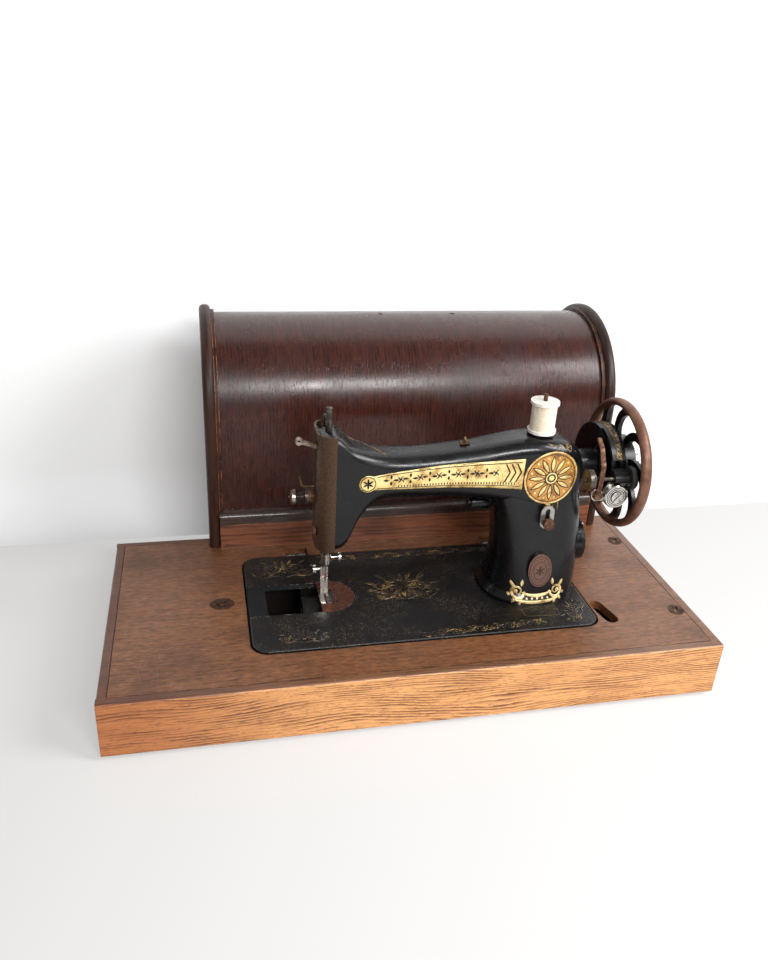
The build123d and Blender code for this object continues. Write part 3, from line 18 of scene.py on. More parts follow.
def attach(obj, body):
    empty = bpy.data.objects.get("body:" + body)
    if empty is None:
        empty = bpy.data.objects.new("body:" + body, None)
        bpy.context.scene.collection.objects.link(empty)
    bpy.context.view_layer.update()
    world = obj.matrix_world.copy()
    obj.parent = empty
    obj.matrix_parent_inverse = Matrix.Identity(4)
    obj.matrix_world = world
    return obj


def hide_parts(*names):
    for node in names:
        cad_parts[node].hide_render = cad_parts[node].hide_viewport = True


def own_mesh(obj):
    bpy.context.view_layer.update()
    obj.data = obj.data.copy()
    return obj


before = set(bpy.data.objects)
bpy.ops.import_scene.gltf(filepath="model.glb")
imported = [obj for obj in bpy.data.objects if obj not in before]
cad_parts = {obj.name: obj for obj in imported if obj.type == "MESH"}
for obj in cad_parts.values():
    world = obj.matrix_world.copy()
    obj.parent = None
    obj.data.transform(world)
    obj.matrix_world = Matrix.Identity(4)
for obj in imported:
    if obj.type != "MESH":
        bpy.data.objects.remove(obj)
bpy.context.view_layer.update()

log = logging.getLogger("sewing_machine")

MM = 0.001
BED_MIDDLE = Vector((15.0, -95.6, 66.0)) * MM

# Heights above the base's top: the wheel's axis, and where two finishes part on the plates and the winder
WHEEL_AXIS = 148.5
PLATES_PART = 76.0
WINDER_PART = 146.0

# Face of the side boss along X, and the radius where the wheel's rubbed rim starts
SIDE_BOSS_FACE = 186.0
WHEEL_RIM = 60.5

# Middles of the badge and of the winder's worm wheel, as seen from the front
BADGE = (127.0, 42.0)
WORM_WHEEL = (194.0, 134.0)

# Where a transfer's points look from: before the bed, above it, and away from the wheel's axis
LOOK_FRONT = -90.0
LOOK_TOP = 230.0
LOOK_ROUND = 80.0

# How far they look, the longest side of a square, and the gap that is closed, all in metres
LOOK_REACH = 0.4
SQUARE_LIMIT = 0.006
WELD_GAP = 0.00002

# Length and breadth of a disc's squares, in millimetres
DISC_STEP = 1.4
DISC_BAND = 1.6

# Turn of the normal where the mask of worn edges starts, and where it is full
EDGE_START = 0.02
EDGE_FULL = 0.2

# Height over which dust thickens, in millimetres
DUST_RISE = 24.0

Colour = tuple[float, float, float, float]
Flat = tuple[float, float]
Place = tuple[float, float, float]


class Axis(IntEnum):
    """An axis of the frame."""

    X = 0
    Y = 1
    Z = 2


def paint(red: float, green: float, blue: float) -> Colour:
    """Turn a colour as seen on a screen into the linear colour that a shader takes.

    Args:
        red: Red, from 0 to 255.
        green: Green, from 0 to 255.
        blue: Blue, from 0 to 255.

    Returns:
        The linear colour with full alpha.
    """
    linear = []
    for part in (red, green, blue):
        share = part / 255
        linear.append(share / 12.92 if share <= 0.04045 else ((share + 0.055) / 1.055) ** 2.4)
    return (linear[0], linear[1], linear[2], 1.0)


def on_machine(x: float, y: float, z: float) -> Vector:
    """Place given in millimetres from the middle of the bed, as a point of the frame in metres.

    Args:
        x: Distance toward the hand wheel.
        y: Distance toward the back.
        z: Height above the base's top.

    Returns:
        The point in the row's frame.
    """
    return BED_MIDDLE + Vector((x, y, z)) * MM


class Graph:
    """A material's node tree, with short calls for the nodes that the finishes share."""

    def __init__(self, name: str) -> None:
        """Start an empty material.

        Args:
            name: The material's name.
        """
        self.material = bpy.data.materials.new(name)
        self.material.use_nodes = True
        self.tree = self.material.node_tree
        self.tree.nodes.clear()
        self.output = self.tree.nodes.new("ShaderNodeOutputMaterial")
        self._place: bpy.types.NodeSocket | None = None

    def feed(self, socket: bpy.types.NodeSocket, value: object) -> None:
        """Link a socket into another, or set it where the value is a constant.

        Args:
            socket: The input socket.
            value: An output socket or a constant.
        """
        if isinstance(value, bpy.types.NodeSocket):
            self.tree.links.new(value, socket)
        else:
            socket.default_value = value

    def node(self, kind: str, settings: dict[str, object] | None = None, **inputs: object) -> bpy.types.Node:
        """Add a node.

        Args:
            kind: Blender's name of the node's type.
            settings: The node's own settings.
            **inputs: Values for its inputs, by name with underscores for spaces.

        Returns:
            The new node.
        """
        made = self.tree.nodes.new(kind)
        for name, value in (settings or {}).items():
            setattr(made, name, value)
        for name, value in inputs.items():
            self.feed(made.inputs[name.replace("_", " ")], value)
        return made

    def place(self) -> bpy.types.NodeSocket:
        """Position on the object at rest.

        Returns:
            The position, in metres.
        """
        if self._place is None:
            self._place = self.node("ShaderNodeTexCoord").outputs["Object"]
        return self._place

    def turn_sides(self) -> None:
        """Swap X and Y of the position on faces that look sideways, so that a pattern runs along them."""
        x, y, z = self.split(self.place())
        swapped = self.node("ShaderNodeCombineXYZ", X=y, Y=x, Z=z)
        aside = self.normal_parts()[Axis.X]
        made = self.node("ShaderNodeMix", {"data_type": "VECTOR"})
        self.feed(made.inputs[0], self.between(self.math("ABSOLUTE", aside), 0.6, 0.8))
        self.feed(made.inputs[4], self.place())
        self.feed(made.inputs[5], swapped.outputs[0])
        self._place = made.outputs[1]

    def stretched(self, x: float, y: float, z: float, shift: float = 0.0) -> bpy.types.NodeSocket:
        """Position scaled along each axis.

        Args:
            x: Cycles per millimetre along X.
            y: Cycles per millimetre along Y.
            z: Cycles per millimetre along Z.
            shift: Offset that makes one pattern differ from another.

        Returns:
            The scaled position.
        """
        mapping = self.node("ShaderNodeMapping", Vector=self.place())
        mapping.inputs["Scale"].default_value = (x / MM, y / MM, z / MM)
        mapping.inputs["Location"].default_value = (shift, shift * 0.7, shift * 1.3)
        return mapping.outputs["Vector"]

    def split(self, vector: bpy.types.NodeSocket) -> tuple[bpy.types.NodeSocket, ...]:
        """The three parts of a vector."""
        return tuple(self.node("ShaderNodeSeparateXYZ", Vector=vector).outputs)

    def noise(self, vector: bpy.types.NodeSocket, detail: float, rough: float,
              distortion: float = 0.0) -> bpy.types.NodeSocket:
        """Smooth noise of scale 1 on a scaled position.

        Args:
            vector: The scaled position.
            detail: Number of finer layers.
            rough: Strength of the finer layers.
            distortion: How much the pattern swirls.

        Returns:
            The noise, about 0.5 on average.
        """
        made = self.node("ShaderNodeTexNoise", Vector=vector, Scale=1.0, Detail=detail, Roughness=rough,
                         Distortion=distortion)
        return made.outputs["Fac"]

    def even(self, fineness: float, shift: float, detail: float, rough: float,
             distortion: float = 0.0) -> bpy.types.NodeSocket:
        """Smooth noise that is as fine along every axis.

        Args:
            fineness: Cycles per millimetre.
            shift: Offset that makes one pattern differ from another.
            detail: Number of finer layers.
            rough: Strength of the finer layers.
            distortion: How much the pattern swirls.

        Returns:
            The noise, about 0.5 on average.
        """
        return self.noise(self.stretched(fineness, fineness, fineness, shift), detail, rough, distortion)

    def cracks(self, vector: bpy.types.NodeSocket) -> bpy.types.NodeSocket:
        """Distance to the nearest edge between cells."""
        made = self.node("ShaderNodeTexVoronoi", {"feature": "DISTANCE_TO_EDGE"}, Vector=vector, Scale=1.0)
        return made.outputs["Distance"]

    def math(self, operation: str, first: object, second: object = 0.0) -> bpy.types.NodeSocket:
        """One arithmetic step.

        Args:
            operation: Blender's name of the step.
            first: The first value.
            second: The second value.

        Returns:
            The result.
        """
        made = self.node("ShaderNodeMath", {"operation": operation})
        self.feed(made.inputs[0], first)
        self.feed(made.inputs[1], second)
        return made.outputs[0]

    def times(self, first: object, second: object) -> bpy.types.NodeSocket:
        """The product of two values."""
        return self.math("MULTIPLY", first, second)

    def plus(self, first: object, second: object) -> bpy.types.NodeSocket:
        """The sum of two values."""
        return self.math("ADD", first, second)

    def normal_parts(self) -> tuple[bpy.types.NodeSocket, ...]:
        """The three parts of the surface's normal."""
        return self.split(self.node("ShaderNodeNewGeometry").outputs["Normal"])

    def between(self, value: object, low: float, high: float, at_low: float = 0.0,
                at_high: float = 1.0) -> bpy.types.NodeSocket:
        """Soft step of a value between two limits.

        Args:
            value: The value.
            low: Where the step starts.
            high: Where it ends.
            at_low: Result at and below low.
            at_high: Result at and above high.

        Returns:
            The stepped value.
        """
        made = self.node("ShaderNodeMapRange", {"interpolation_type": "SMOOTHSTEP", "clamp": True},
                         Value=value)
        made.inputs["From Min"].default_value = low
        made.inputs["From Max"].default_value = high
        made.inputs["To Min"].default_value = at_low
        made.inputs["To Max"].default_value = at_high
        return made.outputs["Result"]

    def mix(self, low: object, high: object, share: object, kind: str = "MIX") -> bpy.types.NodeSocket:
        """Mix of two colours.

        Args:
            low: The colour at share 0.
            high: The colour at share 1.
            share: The share of the second colour.
            kind: Blender's name of the way they mix.

        Returns:
            The mixed colour.
        """
        made = self.node("ShaderNodeMix", {"data_type": "RGBA", "blend_type": kind})
        self.feed(made.inputs[0], share)
        self.feed(made.inputs[6], low)
        self.feed(made.inputs[7], high)
        return made.outputs[2]

    def worn_edge(self, reach: float) -> bpy.types.NodeSocket:
        """Mask that is 1 on sharp edges and 0 on flat faces.

        Args:
            reach: How far from an edge it reaches, in millimetres.

        Returns:
            The mask.
        """
        rounded = self.node("ShaderNodeBevel", {"samples": 4}, Radius=reach * MM).outputs["Normal"]
        flat = self.node("ShaderNodeNewGeometry").outputs["Normal"]
        dot = self.node("ShaderNodeVectorMath", {"operation": "DOT_PRODUCT"})
        self.feed(dot.inputs[0], rounded)
        self.feed(dot.inputs[1], flat)
        turn = self.math("SUBTRACT", 1.0, dot.outputs["Value"])
        return self.between(turn, EDGE_START, EDGE_FULL)

    def bump(self, height: bpy.types.NodeSocket, depth: float) -> bpy.types.NodeSocket:
        """Normal disturbed by a height.

        Args:
            height: The height, from 0 to 1.
            depth: The real depth of that height, in millimetres.

        Returns:
            The normal.
        """
        made = self.node("ShaderNodeBump", Height=height, Strength=1.0, Distance=depth * MM)
        return made.outputs["Normal"]

    def shade(self, colour: object, roughness: object, metallic: object = 0.0, normal: object | None = None,
              coat: float = 0.0, coat_roughness: float = 0.1, specular: float = 0.5) -> bpy.types.Material:
        """Finish the material with its surface shader.

        Args:
            colour: Base colour.
            roughness: Roughness.
            metallic: Share of metal.
            normal: Disturbed normal, or None.
            coat: Weight of the clear coat.
            coat_roughness: Roughness of the clear coat.
            specular: Level of the plain reflection.

        Returns:
            The material.
        """
        surface = self.node("ShaderNodeBsdfPrincipled")
        self.feed(surface.inputs["Base Color"], colour)
        self.feed(surface.inputs["Roughness"], roughness)
        self.feed(surface.inputs["Metallic"], metallic)
        surface.inputs["Coat Weight"].default_value = coat
        surface.inputs["Coat Roughness"].default_value = coat_roughness
        surface.inputs["Specular IOR Level"].default_value = specular
        if normal is not None:
            self.feed(surface.inputs["Normal"], normal)
        self.tree.links.new(surface.outputs["BSDF"], self.output.inputs["Surface"])
        return self.material


class Grain(Enum):
    """Which way a board's grain runs."""

    ALONG_X = "x"
    ALONG_Y = "y"
    ROUND_X = "round"


@dataclass(frozen=True)
class Wood:
    """Varnished wood with growth rings, pores, stains, scratches and worn edges, and painted shade on the
    left end where one is given.

    Attributes:
        name: The material's name.
        grain: Which way the grain runs.
        dark: Colour of the late rings.
        light: Colour of the early rings.
        worn: Colour where the varnish is worn off the edges.
        stain: Colour of the old stains.
        ring_pitch: Distance between rings, in millimetres.
        wander: How much the rings wander.
        gloss: Roughness of the varnish.
        stains: Strength of the stains.
        wear: Strength of the worn edges.
        scratches: Strength of the scratches.
        top_dark: Late rings' colour on faces that look up, or None for the same.
        top_light: Early rings' colour on faces that look up.
        dust: Colour of the dust, or None for none.
        dust_height: Height in millimetres where the dust starts.
        fibre: Strength of the fine fibres.
        edge: Colour of the edges, or None for the worn one.
        relief: Depth of the grain, in millimetres.
        fibre_length: Length of one fibre, in millimetres.
        coat: Weight of the varnish's clear coat.
        coat_gloss: Roughness of the clear coat.
        shine: Level of the plain reflection.
        painted_left_shade: Colour multiplied over the left end as painted shade, where the light falls off,
            or None for none.
        fineness: Fibres per millimetre across the grain.
        frame_grain: True where the boards run round a frame, so the end boards' grain runs along Y.
    """

    name: str
    grain: Grain
    dark: Colour
    light: Colour
    worn: Colour
    stain: Colour
    ring_pitch: float = 6.0
    wander: float = 5.0
    gloss: float = 0.38
    stains: float = 0.5
    wear: float = 0.6
    scratches: float = 0.4
    top_dark: Colour | None = None
    top_light: Colour | None = None
    dust: Colour | None = None
    dust_height: float = 0.0
    fibre: float = 0.55
    edge: Colour | None = None
    relief: float = 0.12
    fibre_length: float = 28.0
    coat: float = 0.25
    coat_gloss: float = 0.3
    shine: float = 0.5
    painted_left_shade: Colour | None = None
    fineness: float = 1.0
    frame_grain: bool = False

    def _along(self, graph: Graph, across: float, along: float, shift: float) -> bpy.types.NodeSocket:
        """Position with slow change along the grain and quick change across it.

        Args:
            graph: The material's nodes.
            across: Cycles per millimetre across the grain.
            along: Cycles per millimetre along it.
            shift: Offset that makes one pattern differ from another.

        Returns:
            The scaled position.
        """
        if self.grain is Grain.ALONG_X:
            return graph.stretched(along, across, across, shift)
        if self.grain is Grain.ALONG_Y:
            return graph.stretched(across, along, across, shift)
        return graph.stretched(across, along, along, shift)

    def _across(self, graph: Graph) -> bpy.types.NodeSocket:
        """Distance across the grain, on whichever face.

        Args:
            graph: The material's nodes.

        Returns:
            The distance, in metres.
        """
        x, y, z = graph.split(graph.place())
        if self.grain is Grain.ALONG_X:
            return graph.plus(y, z)
        if self.grain is Grain.ALONG_Y:
            return graph.plus(x, z)
        return x

    def _rings(self, graph: Graph) -> bpy.types.NodeSocket:
        """Growth rings that darken toward their late edge, and fade in and out along the grain.

        Args:
            graph: The material's nodes.

        Returns:
            The rings, from 0 to 1.
        """
        slow = graph.noise(self._along(graph, 0.016, 0.0042, 3.1), 1.5, 0.45)
        ripple = graph.noise(self._along(graph, 0.2, 0.03, 8.8), 2.0, 0.5)
        count = graph.times(self._across(graph), 1 / (self.ring_pitch * MM))
        phase = graph.plus(graph.plus(count, graph.times(slow, self.wander)), graph.times(ripple, 1.1))
        rings = graph.math("POWER", graph.math("FRACT", phase), 1.4)
        patches = graph.noise(self._along(graph, 0.11, 0.014, 4.9), 2.0, 0.5)
        return graph.times(rings, graph.between(patches, 0.34, 0.62, 0.25, 1.0))

    def _grained(self, graph: Graph, fine: bpy.types.NodeSocket,
                 pores: bpy.types.NodeSocket) -> bpy.types.NodeSocket:
        """Colour of the clean wood.

        Args:
            graph: The material's nodes.
            fine: The fibres.
            pores: The mask of the pores.

        Returns:
            The colour.
        """
        tone = graph.plus(graph.times(self._rings(graph), 1.1 - self.fibre), graph.times(fine, self.fibre))
        shade = graph.between(tone, 0.2, 0.85)
        colour = graph.mix(self.light, self.dark, shade)
        late: object = self.dark
        if self.top_dark and self.top_light:
            top = graph.between(graph.normal_parts()[Axis.Z], 0.5, 0.9)
            colour = graph.mix(colour, graph.mix(self.top_light, self.top_dark, shade), top)
            late = graph.mix(self.dark, self.top_dark, top)
        return graph.mix(colour, late, graph.times(pores, 0.45))

    def _scratched(self, graph: Graph, colour: bpy.types.NodeSocket,
                   fine: bpy.types.NodeSocket) -> bpy.types.NodeSocket:
        """Colour with hair scratches and rubbed edges.

        Args:
            graph: The material's nodes.
            colour: The colour without them.
            fine: The fibres, which break the scratches up.

        Returns:
            The colour.
        """
        hair = graph.between(graph.cracks(graph.stretched(0.018, 0.05, 0.05, 2.2)), 0.0, 0.006, 1.0, 0.0)
        hair = graph.times(hair, graph.between(fine, 0.5, 0.62))
        colour = graph.mix(colour, self.worn, graph.times(hair, self.scratches))
        rub = graph.between(graph.even(0.06, 4.4, 4.0, 0.6), 0.4, 0.62)
        edge = graph.times(graph.worn_edge(2.2), graph.times(rub, self.wear))
        return graph.mix(colour, self.edge or self.worn, edge)

    def dress(self) -> bpy.types.Material:
        """Build the material.

        Returns:
            The material.
        """
        graph = Graph(self.name)
        from_left = graph.split(graph.place())[Axis.X]
        if self.frame_grain:
            graph.turn_sides()
        fine = graph.noise(self._along(graph, self.fineness, 1 / self.fibre_length, 7.7), 3.0, 0.6)
        pores = graph.noise(self._along(graph, 1.4 * self.fineness, 2.5 / self.fibre_length, 1.9), 2.0, 0.5)
        pores = graph.between(pores, 0.58, 0.68)
        colour = self._grained(graph, fine, pores)
        cloud = graph.even(0.011, 5.5, 4.0, 0.55)
        colour = graph.mix(colour, self.stain, graph.times(graph.between(cloud, 0.48, 0.68), self.stains))
        # Painted shade: the left end is multiplied darker, standing in for the light falling off toward the
        # left
        if self.painted_left_shade:
            painted_shade_share = graph.between(from_left, -0.3, -0.08, 1.0, 0.0)
            colour = graph.mix(colour, self.painted_left_shade, painted_shade_share, "MULTIPLY")
        speck = graph.between(graph.even(0.35, 9.3, 3.0, 0.7), 0.66, 0.74)
        colour = graph.mix(colour, self.stain, graph.times(speck, self.stains * 0.6))
        colour = self._scratched(graph, colour, fine)
        if self.dust:
            height = graph.split(graph.place())[Axis.Z]
            full = self.dust_height + DUST_RISE
            settled = graph.between(height, self.dust_height * MM, full * MM, 0.0, 0.8)
            patchy = graph.noise(self._along(graph, 0.9, 0.05, 6.6), 4.0, 0.65)
            patchy = graph.between(patchy, 0.2, 0.7, 0.35, 1.0)
            colour = graph.mix(colour, self.dust, graph.times(settled, patchy))
        roughness = graph.between(cloud, 0.3, 0.75, self.gloss - 0.07, self.gloss + 0.14)
        height = graph.math("SUBTRACT", graph.times(fine, 0.5), graph.times(pores, 0.6))
        return graph.shade(colour, roughness, 0.0, graph.bump(height, self.relief), coat=self.coat,
                           coat_roughness=self.coat_gloss, specular=self.shine)


@dataclass(frozen=True)
class Enamel:
    """Black japanned iron: glossy, with fine scratches, dust and chipped edges.

    Attributes:
        name: The material's name.
        colour: Colour of the enamel.
        dust: Colour of the dust on it.
        dusty: Share of dust.
        gloss: Roughness where it is clean.
        chips: Strength of the chipped edges.
        edge: Colour of the chipped edges.
        ledge: Colour of the bare ledge for the slide plate, or None for none.
        reach: Reach of the worn edges, in millimetres.
        specks: Colour of the fine pale specks, or None for none.
    """

    name: str
    colour: Colour = paint(11, 11, 13)
    dust: Colour = paint(92, 84, 74)
    dusty: float = 0.25
    gloss: float = 0.22
    chips: float = 0.5
    edge: Colour = paint(104, 84, 62)
    ledge: Colour | None = None
    reach: float = 1.0
    specks: Colour | None = None

    def _on_ledge(self, graph: Graph) -> bpy.types.NodeSocket:
        """Mask of the bare ledge round the slot at the bed's left end.

        Args:
            graph: The material's nodes.

        Returns:
            The mask.
        """
        x, y, z = graph.split(graph.place())
        under = graph.between(z, BED_MIDDLE.z + 0.6 * MM, BED_MIDDLE.z + 1.2 * MM, 1.0, 0.0)
        over = graph.between(z, BED_MIDDLE.z - 3.5 * MM, BED_MIDDLE.z - 2.5 * MM)
        left = graph.between(x, BED_MIDDLE.x - 140 * MM, BED_MIDDLE.x - 110 * MM, 1.0, 0.0)
        aside = graph.math("ABSOLUTE", graph.math("SUBTRACT", y, BED_MIDDLE.y))
        near = graph.between(aside, 30 * MM, 34 * MM, 1.0, 0.0)
        return graph.times(graph.times(under, over), graph.times(left, near))

    def dress(self) -> bpy.types.Material:
        """Build the material.

        Returns:
            The material.
        """
        graph = Graph(self.name)
        cloud = graph.even(0.03, 1.1, 5.0, 0.6)
        motes = graph.between(graph.even(0.9, 6.1, 3.0, 0.65), 0.63, 0.72)
        share = graph.times(motes, graph.between(cloud, 0.4, 0.7, 0.15, self.dusty * 2))
        colour = graph.mix(self.colour, self.dust, share)
        if self.specks:
            fine = graph.between(graph.even(0.75, 3.6, 1.0, 0.5), 0.63, 0.69)
            where = graph.between(graph.even(0.022, 7.2, 3.0, 0.6), 0.35, 0.65, 0.05, 0.7)
            colour = graph.mix(colour, self.specks, graph.times(fine, where))
            scuff = graph.noise(graph.stretched(0.05, 0.3, 0.3, 5.8), 4.0, 0.7)
            colour = graph.mix(colour, self.dust, graph.between(scuff, 0.56, 0.8, 0.0, 0.5))
        chip = graph.between(graph.even(0.25, 2.6, 4.0, 0.65), 0.52, 0.6)
        edge = graph.times(graph.worn_edge(self.reach), graph.times(chip, self.chips))
        colour = graph.mix(colour, self.edge, edge)
        metallic: object = 0.0
        if self.ledge:
            bare = self._on_ledge(graph)
            colour = graph.mix(colour, self.ledge, bare)
            metallic = graph.times(bare, 0.7)
        roughness = graph.between(cloud, 0.35, 0.7, self.gloss, self.gloss + 0.2)
        wave = graph.even(0.05, 8.2, 2.0, 0.5)
        return graph.shade(colour, roughness, metallic, graph.bump(wave, 0.25), coat=0.12, coat_roughness=0.1,
                           specular=0.32)


@dataclass(frozen=True)
class Metal:
    """Bare or plated metal with tarnish in patches.

    Attributes:
        name: The material's name.
        bright: Colour of the clean metal.
        tarnish: Colour of the tarnish.
        share: Share of tarnish, from 0 to 1.
        gloss: Roughness of the clean metal.
        pitting: Depth of the pitting, in millimetres.
        patch: Size of the tarnish patches, in millimetres.
    """

    name: str
    bright: Colour
    tarnish: Colour
    share: float = 0.3
    gloss: float = 0.25
    pitting: float = 0.05
    patch: float = 8.0

    def dress(self) -> bpy.types.Material:
        """Build the material.

        Returns:
            The material.
        """
        graph = Graph(self.name)
        size = 1 / self.patch
        cloud = graph.even(size, 3.3, 5.0, 0.65, 0.4)
        grit = graph.even(1.6, 5.2, 3.0, 0.6)
        level = 0.72 - 0.44 * self.share
        patch = graph.between(cloud, level - 0.1, level + 0.08)
        colour = graph.mix(self.bright, self.tarnish, patch)
        colour = graph.mix(colour, self.tarnish, graph.between(grit, 0.55, 0.72, 0.0, 0.35))
        roughness = graph.plus(self.gloss, graph.times(patch, 0.3))
        metallic = graph.between(patch, 0.0, 1.0, 1.0, 0.55)
        height = graph.plus(graph.times(grit, 0.6), graph.times(cloud, 0.6))
        return graph.shade(colour, roughness, metallic, graph.bump(height, self.pitting))


@dataclass(frozen=True)
class Dull:
    """Rubber, thread or painted wood: one colour, uneven and matt.

    Attributes:
        name: The material's name.
        colour: Main colour.
        other: Colour of the uneven patches.
        gloss: Roughness.
        grit: Fineness of the unevenness, in cycles per millimetre.
    """

    name: str
    colour: Colour
    other: Colour
    gloss: float = 0.6
    grit: float = 0.6

    def dress(self) -> bpy.types.Material:
        """Build the material.

        Returns:
            The material.
        """
        graph = Graph(self.name)
        cloud = graph.even(self.grit, 2.9, 4.0, 0.6)
        colour = graph.mix(self.colour, self.other, graph.between(cloud, 0.4, 0.7))
        return graph.shade(colour, self.gloss, 0.0, graph.bump(cloud, 0.05))


@dataclass(frozen=True)
class WheelFinish:
    """Hand wheel: black enamel on the hub and spokes, brown rubbed metal on the rim's outer side.

    Attributes:
        name: The material's name.
        axis_y: Depth of the wheel's axis, in metres.
        axis_z: Height of the wheel's axis, in metres.
        rim: Radius in metres where the rubbed metal starts.
    """

    name: str
    axis_y: float
    axis_z: float
    rim: float

    def dress(self) -> bpy.types.Material:
        """Build the material.

        Returns:
            The material.
        """
        graph = Graph(self.name)
        _, along_y, along_z = graph.split(graph.place())
        dy = graph.math("SUBTRACT", along_y, self.axis_y)
        dz = graph.math("SUBTRACT", along_z, self.axis_z)
        squares = graph.plus(graph.times(dy, dy), graph.times(dz, dz))
        radius = graph.math("SQRT", squares)
        cloud = graph.even(0.12, 4.1, 5.0, 0.6)
        ragged = graph.plus(radius, graph.times(cloud, 0.004))
        rim = graph.between(ragged, self.rim, self.rim + 0.003)
        rust = graph.mix(paint(124, 88, 70), paint(94, 63, 50), graph.between(cloud, 0.3, 0.7))
        grit = graph.even(1.2, 2.4, 3.0, 0.6)
        rust = graph.mix(rust, paint(62, 42, 34), graph.between(grit, 0.6, 0.74, 0.0, 0.6))
        colour = graph.mix(paint(13, 13, 14), rust, rim)
        roughness = graph.between(rim, 0.0, 1.0, 0.28, 0.42)
        metallic = graph.between(rim, 0.0, 1.0, 0.0, 0.35)
        return graph.shade(colour, roughness, metallic, graph.bump(cloud, 0.1), specular=0.35)


@dataclass(frozen=True)
class TwoTone:
    """Two plain finishes on one piece, parted by a level across one axis.

    Attributes:
        name: The material's name.
        axis: The axis that parts them.
        level: Where they part, in millimetres from the middle of the bed.
        below: Colour under the level.
        above: Colour over the level.
        metal_below: Share of metal under the level.
        metal_above: Share of metal over the level.
        gloss_below: Roughness under the level.
        gloss_above: Roughness over the level.
    """

    name: str
    axis: Axis
    level: float
    below: Colour
    above: Colour
    metal_below: float
    metal_above: float
    gloss_below: float
    gloss_above: float

    def dress(self) -> bpy.types.Material:
        """Build the material.

        Returns:
            The material.
        """
        graph = Graph(self.name)
        split = BED_MIDDLE[self.axis] + self.level * MM
        share = graph.between(graph.split(graph.place())[self.axis], split - 0.1 * MM, split + 0.1 * MM)
        colour = graph.mix(self.below, self.above, share)
        grit = graph.even(0.7, 3.7, 4.0, 0.65)
        colour = graph.mix(colour, paint(48, 34, 26), graph.between(grit, 0.52, 0.7, 0.0, 0.55))
        metallic = graph.between(share, 0.0, 1.0, self.metal_below, self.metal_above)
        roughness = graph.between(share, 0.0, 1.0, self.gloss_below, self.gloss_above)
        return graph.shade(colour, roughness, metallic, graph.bump(grit, 0.04), specular=0.35)


@dataclass(frozen=True)
class GoldLeaf:
    """Worn gold transfer over black enamel.

    Attributes:
        name: The material's name.
        gold: Colour of the clean gold.
        deep: Colour of the darker patches.
        wear: Share that is worn through to the enamel.
    """

    name: str
    gold: Colour
    deep: Colour
    wear: float = 0.3

    def dress(self) -> bpy.types.Material:
        """Build the material.

        Returns:
            The material.
        """
        graph = Graph(self.name)
        cloud = graph.even(0.09, 4.9, 4.0, 0.6)
        grit = graph.even(1.7, 7.4, 3.0, 0.7)
        colour = graph.mix(self.gold, self.deep, graph.between(cloud, 0.42, 0.66))
        level = 0.74 - 0.3 * self.wear
        ragged = graph.plus(graph.times(grit, 0.6), graph.times(cloud, 0.4))
        worn = graph.between(ragged, level - 0.11, level - 0.06)
        colour = graph.mix(colour, paint(30, 26, 20), worn)
        return graph.shade(colour, 0.36, 0.15, graph.bump(grit, 0.02), coat=0.4, coat_roughness=0.15)


BLACK = Enamel("black_enamel")
BED_BLACK = Enamel("bed_enamel", dust=paint(84, 72, 52), dusty=0.5, gloss=0.3, chips=1.3,
                   edge=paint(166, 158, 148), ledge=paint(44, 45, 47),
                   reach=1.8, specks=paint(140, 122, 98))
# The rails' left end is multiplied darker by a given colour: painted shade where the light falls off
OAK = Wood("oak_rail", Grain.ALONG_X, paint(98, 48, 18), paint(220, 158, 96), paint(214, 160, 100),
           paint(118, 58, 20), ring_pitch=3.2, wander=16.0, gloss=0.42, stains=0.2, wear=0.9,
           top_dark=paint(72, 43, 26), top_light=paint(120, 80, 52), fibre=0.52, edge=paint(84, 48, 26),
           fibre_length=14.0, painted_left_shade=paint(204, 174, 150), fineness=0.55, frame_grain=True)
BOARD = Wood("stained_board", Grain.ALONG_X, paint(64, 36, 19), paint(144, 94, 60), paint(176, 140, 112),
             paint(60, 36, 24), ring_pitch=6.0, wander=4.0, gloss=0.38, stains=0.5, wear=1.6, fibre=0.94,
             edge=paint(46, 29, 20), fibre_length=8.0, shine=0.35, fineness=0.6)
# Near-black wood for the inside of the base: painted shade of the closed space seen through the bed's slot
INSIDE_SHADE = Wood("inside_board_painted_shade", Grain.ALONG_X, paint(19, 14, 11), paint(36, 27, 21), paint(52, 40, 30),
              paint(14, 11, 9), gloss=0.7)
BENTWOOD = Wood("bentwood", Grain.ROUND_X, paint(16, 6, 5), paint(74, 33, 24), paint(140, 82, 54),
                paint(20, 10, 9), ring_pitch=4.0, wander=1.0, gloss=0.26, stains=0.4, wear=0.7, scratches=0.0,
                dust=paint(84, 70, 64), dust_height=300, fibre=0.9, relief=0.2, fibre_length=20.0,
                coat=0.12, coat_gloss=0.28, shine=0.34, fineness=0.6)
END_PANEL = Wood("end_panel", Grain.ALONG_Y, paint(42, 23, 18), paint(78, 44, 34), paint(140, 84, 54),
                 paint(30, 17, 15), gloss=0.4)
MOULDING = Wood("moulding", Grain.ROUND_X, paint(22, 12, 9), paint(60, 34, 25), paint(182, 112, 66),
                paint(20, 12, 10), ring_pitch=9.0, wander=1.0, gloss=0.38, wear=1.0, coat=0.08, shine=0.22)
PLINTH = Wood("plinth", Grain.ALONG_X, paint(52, 26, 18), paint(138, 80, 50), paint(178, 112, 70),
              paint(38, 22, 18), ring_pitch=6.0, wander=4.0, gloss=0.36, wear=0.8, fibre=0.7,
              frame_grain=True)
BEAD = Wood("bead", Grain.ALONG_X, paint(38, 28, 25), paint(66, 50, 44), paint(150, 100, 72),
            paint(28, 22, 20), gloss=0.25, wear=0.7)
NICKEL = Metal("nickel", paint(206, 202, 196), paint(120, 106, 92), 0.2, 0.2)
WORN_NICKEL = Metal("worn_nickel", paint(170, 160, 148), paint(92, 72, 56), 0.5, 0.3, 0.08)
